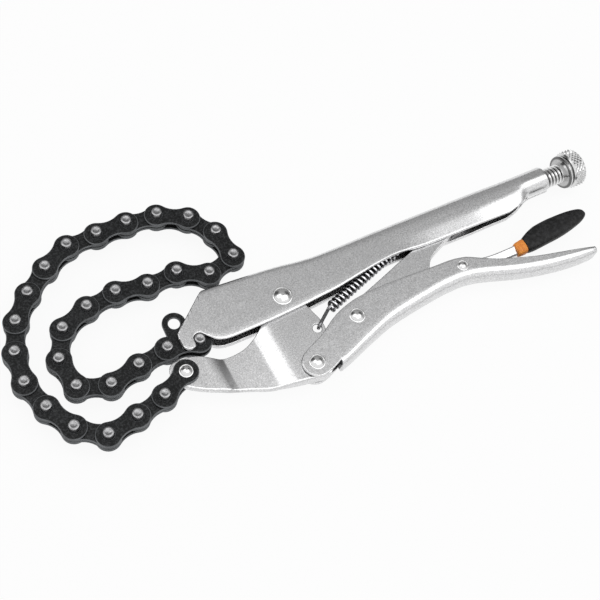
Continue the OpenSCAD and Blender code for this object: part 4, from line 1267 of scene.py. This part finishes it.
def plate_pair(sizes, layer, with_bushes=False, with_ear=False):
    """A link's two plates about its first pin, with bushes between them on an inner link."""
    mesh = bpy.data.meshes.new("plate_pair")
    lower = bmesh.new()
    plate_body(lower, plate_face(lower, sizes, False), layer[0], layer[1], sizes.plate_edge / MM)
    bmesh.ops.scale(lower, vec=(1, 1, -1), verts=lower.verts)
    lower.to_mesh(mesh)
    lower.free()
    bm = bmesh.new()
    plate_body(bm, plate_face(bm, sizes, with_ear), layer[0], layer[1], sizes.plate_edge / MM)
    bm.from_mesh(mesh)
    bmesh.ops.recalc_face_normals(bm, faces=bm.faces)
    if with_bushes:
        bore = sizes.pin_width / MM / 2 + PIN_HOLE_GAP
        end = layer[0] + BUSH_LAP
        ring = ((bore, -end), (BUSH_R, -end), (BUSH_R, end), (bore, end), (bore, -end))
        for centre in (Vector((0, 0, 0)), Vector((PITCH, 0, 0))):
            turned(bm, ring, centre, Z_AXIS, HOLE_SIDES)
        bmesh.ops.remove_doubles(bm, verts=bm.verts, dist=WELD / 10)
        bmesh.ops.recalc_face_normals(bm, faces=bm.faces)
    bm.to_mesh(mesh)
    bm.free()
    mesh.shade_smooth()
    mesh.set_sharp_from_angle(angle=SMOOTH_ANGLE)
    return mesh


def link_place(i):
    """The turn and place of a link's own axes in the frame."""
    start, end = CHAIN_PINS[i], CHAIN_PINS[i + 1]
    heading = math.atan2(end.y - start.y, end.x - start.x)
    return (Matrix.Translation(MAIN_PIVOT) @ Matrix.Scale(MM, 4) @ Matrix.Translation(start)
            @ Matrix.Rotation(heading, 4, "Z"))


class WRENCH_OT_chain(bpy.types.Operator):
    """Stamps the chain's plates and turns its pins, link by link"""

    bl_idname = "wrench.chain"
    bl_label = "Roller Chain"

    def execute(self, context):
        sizes = context.scene.wrench_sizes
        patterns = {"outer": plate_pair(sizes, OUTER_PLATE), "inner": plate_pair(sizes, INNER_PLATE, True),
                    "last": plate_pair(sizes, OUTER_PLATE, with_ear=True)}
        for i in range(LINK_COUNT):
            outer = i % 2 == 0
            pattern = "last" if i == LINK_COUNT - 1 else "outer" if outer else "inner"
            node = f"{'outer' if outer else 'inner'}_link_{i // 2 + 1:02d}"
            mesh = patterns[pattern].copy()
            mesh.name = f"plates_{node}"
            mesh.transform(link_place(i))
            object_from(f"plates_{node}", mesh, finish("chain_black"), node, stamped=True)
            if outer:
                self.pins(sizes, i)
        for mesh in patterns.values():
            bpy.data.meshes.remove(mesh)
        return {"FINISHED"}

    def pins(self, sizes, i):
        """The pins that an outer link carries."""
        radius = sizes.pin_width / MM / 2
        end = ((radius, PIN_HALF - 0.5), (radius - 0.14, PIN_HALF - 0.18), (radius - 0.5, PIN_HALF - 0.02),
               (radius * 0.68, PIN_HALF), (radius * 0.58, PIN_HALF - 0.05), (radius * 0.44, PIN_HALF - 0.22),
               (0, PIN_HALF - 0.3))
        profile = [(r, -h) for r, h in reversed(end)] + list(end)
        bm = bmesh.new()
        for place in ([] if i == 0 else [CHAIN_PINS[i]]) + [CHAIN_PINS[i + 1]]:
            turned(bm, profile, place, Z_AXIS, PIN_SIDES)
        node = f"link_pins_{i // 2 + 1:02d}"
        piece_from(f"turned_{node}", bm, finish("pin_steel"), node)


TARGET = MAIN_PIVOT + Vector((6.479, -5.976, PIN_HALF)) * MM
SENSOR_WIDTH = 36.0
# Softboxes: place from the target, and size
FRONT_SOFTBOX = (Vector((0.8, -0.35, 1.77)), (2.2, 1.3))
LEFT_SOFTBOX = (Vector((-0.48, 0.75, 1.77)), (1.14, 0.9))
FLOOR_SIZE = 6.0
FLOOR_DROP = 0.0005
FLOOR_GLOW = 0.92
# What a gloss sees of the sky: its bright side by (lean, level), then dark flags and a dark horizon, each
# as a span of leans and the levels at its ends
BRIGHT_SIDE = Vector((-0.66, -0.75, 0)).normalized()
BRIGHT_STEPS = ((-0.95, 0.38), (-0.6, 0.45), (-0.36, 0.48), (-0.08, 1.0))
DARK_FLAGS = ((Vector((-0.3, 0.85, 0.43)).normalized(), (0.88, 0.97, 1.0, 0.2)),
              (Vector((0.8, 0.31, 0.51)).normalized(), (0.93, 0.985, 1.0, 0.2)))
HORIZON_SPREAD = (0.0, 0.16, 0.25, 1.0)


def softbox(name, place, size, power):
    """A level softbox above the object."""
    lamp = bpy.data.lights.new(name, "AREA")
    lamp.shape = "RECTANGLE"
    lamp.size, lamp.size_y = size
    lamp.energy = power
    light = bpy.data.objects.new(name, lamp)
    light.location = TARGET + place
    bpy.context.scene.collection.objects.link(light)


class WRENCH_OT_stage(bpy.types.Operator):
    """Sets the pale floor, the soft lights and the camera"""

    bl_idname = "wrench.stage"
    bl_label = "Stage"

    def execute(self, context):
        scene, stage = context.scene, context.scene.wrench_stage
        scene.view_settings.view_transform = "Standard"
        self.camera(scene, stage)
        self.floor(scene, stage)
        self.sky(scene, stage)
        softbox("front_softbox", *FRONT_SOFTBOX, stage.key)
        softbox("left_softbox", *LEFT_SOFTBOX, stage.side)
        return {"FINISHED"}

    def camera(self, scene, stage):
        """The camera at the photograph's angle."""
        level, height = math.cos(stage.elevation), math.sin(stage.elevation)
        back = Vector((level * math.cos(stage.bearing), level * math.sin(stage.bearing), height))
        lens = bpy.data.cameras.new("camera")
        lens.lens, lens.sensor_width = stage.lens, SENSOR_WIDTH
        camera = bpy.data.objects.new("camera", lens)
        camera.location = TARGET + back * stage.distance
        upright = (-back).to_track_quat("-Z", "Y").to_matrix()
        camera.rotation_euler = (upright @ Matrix.Rotation(stage.roll, 3, "Z")).to_euler()
        scene.collection.objects.link(camera)
        scene.camera = camera

    def floor(self, scene, stage):
        """A wide pale floor that stays white to the camera and keeps a soft shadow."""
        bm = bmesh.new()
        bmesh.ops.create_grid(bm, x_segments=1, y_segments=1, size=FLOOR_SIZE / 2)
        bmesh.ops.translate(bm, vec=(TARGET.x, TARGET.y, CAD_BOX[0].z - FLOOR_DROP), verts=bm.verts)
        mesh = bpy.data.meshes.new("floor")
        bm.to_mesh(mesh)
        bm.free()
        material = bpy.data.materials.new("pale_floor")
        tree = NodeTree(material)
        output = tree.nodes.new("ShaderNodeOutputMaterial")
        rays = tree.nodes.new("ShaderNodeLightPath").outputs
        paper, glow = tree.nodes.new("ShaderNodeBsdfDiffuse"), tree.nodes.new("ShaderNodeEmission")
        paper.inputs["Color"].default_value = (*stage.floor, 1)
        seen = rays["Is Camera Ray"]
        for ray in ("Is Glossy Ray", "Is Transmission Ray"):
            seen = tree.maths("MAXIMUM", seen, rays[ray])
        share = tree.maths("MULTIPLY", seen, FLOOR_GLOW)
        shown = tree.shaders(share, paper.outputs["BSDF"], glow.outputs["Emission"])
        tree.links.new(shown, output.inputs["Surface"])
        mesh.materials.append(material)
        floor = bpy.data.objects.new("floor", mesh)
        scene.collection.objects.link(floor)

    def sky(self, scene, stage):
        """Even light from all round, white to the camera and graded from bright to grey in a gloss."""
        world = bpy.data.worlds.new("studio")
        tree = NodeTree(world)
        output = tree.nodes.new("ShaderNodeOutputWorld")
        rays = tree.nodes.new("ShaderNodeLightPath").outputs
        soft, graded, white = (tree.nodes.new("ShaderNodeBackground") for _ in range(3))
        for background in (soft, graded, white):
            background.inputs["Color"].default_value = (1, 1, 1, 1)
        soft.inputs["Strength"].default_value = stage.sky
        coords = tree.nodes.new("ShaderNodeTexCoord").outputs["Generated"]

        def levelled(direction, start, end, low, high):
            """A level that goes from low to high as a ray leans towards a direction."""
            lean = tree.vectors("DOT_PRODUCT", coords, direction, result="Value")
            return tree.spread(lean, low, high, start, end)

        ramp = tree.nodes.new("ShaderNodeValToRGB")
        stops = ramp.color_ramp.elements
        while len(stops) < len(BRIGHT_STEPS):
            stops.new(0.5)
        for stop, (lean, level) in zip(stops, BRIGHT_STEPS):
            stop.position, stop.color = (lean + 1) / 2, (level, level, level, 1)
        tree.links.new(levelled(BRIGHT_SIDE, -1, 1, 0, 1), ramp.inputs["Fac"])
        strength = levelled(Z_AXIS, *HORIZON_SPREAD)
        for flag, spread in DARK_FLAGS:
            strength = tree.maths("MULTIPLY", strength, levelled(flag, *spread))
        tree.links.new(ramp.outputs["Color"], graded.inputs["Color"])
        tree.links.new(strength, graded.inputs["Strength"])
        shader = soft.outputs["Background"]
        for ray, seen in (("Is Glossy Ray", graded), ("Is Transmission Ray", graded),
                          ("Is Camera Ray", white)):
            shader = tree.shaders(rays[ray], shader, seen.outputs["Background"])
        tree.links.new(shader, output.inputs["Surface"])
        scene.world = world


OPERATORS = (WRENCH_OT_stage, WRENCH_OT_fixed_handle, WRENCH_OT_lower_handle, WRENCH_OT_movable_jaw,
             WRENCH_OT_toggle_link, WRENCH_OT_release_lever, WRENCH_OT_rivets, WRENCH_OT_screw_and_knob,
             WRENCH_OT_return_spring, WRENCH_OT_chain)
GROUPS = {"wrench_sizes": WrenchSizes, "wrench_finishes": WrenchFinishes, "wrench_stage": WrenchStage}


class VIEW3D_PT_wrench(bpy.types.Panel):
    """Lists the steps that build the wrench"""

    bl_idname = "VIEW3D_PT_wrench"
    bl_label = "Chain Wrench"
    bl_space_type = "VIEW_3D"
    bl_region_type = "UI"
    bl_category = "Wrench"

    def draw(self, context):
        for operator in OPERATORS:
            self.layout.operator(operator.bl_idname)
        for group, kind in GROUPS.items():
            box = self.layout.box()
            for name in kind.__annotations__:
                box.prop(getattr(context.scene, group), name)


def register():
    for group, kind in GROUPS.items():
        bpy.utils.register_class(kind)
        setattr(bpy.types.Scene, group, PointerProperty(type=kind))
    for operator in OPERATORS:
        bpy.utils.register_class(operator)
    bpy.utils.register_class(VIEW3D_PT_wrench)


def unregister():
    bpy.utils.unregister_class(VIEW3D_PT_wrench)
    for operator in reversed(OPERATORS):
        bpy.utils.unregister_class(operator)
    for group, kind in GROUPS.items():
        delattr(bpy.types.Scene, group)
        bpy.utils.unregister_class(kind)


def main():
    register()
    bpy.ops.wrench.stage()
    bpy.ops.wrench.fixed_handle()
    bpy.ops.wrench.lower_handle()
    bpy.ops.wrench.movable_jaw()
    bpy.ops.wrench.toggle_link()
    bpy.ops.wrench.release_lever()
    bpy.ops.wrench.rivets()
    bpy.ops.wrench.screw_and_knob()
    bpy.ops.wrench.return_spring()
    bpy.ops.wrench.chain()


if __name__ == "__main__":
    main()
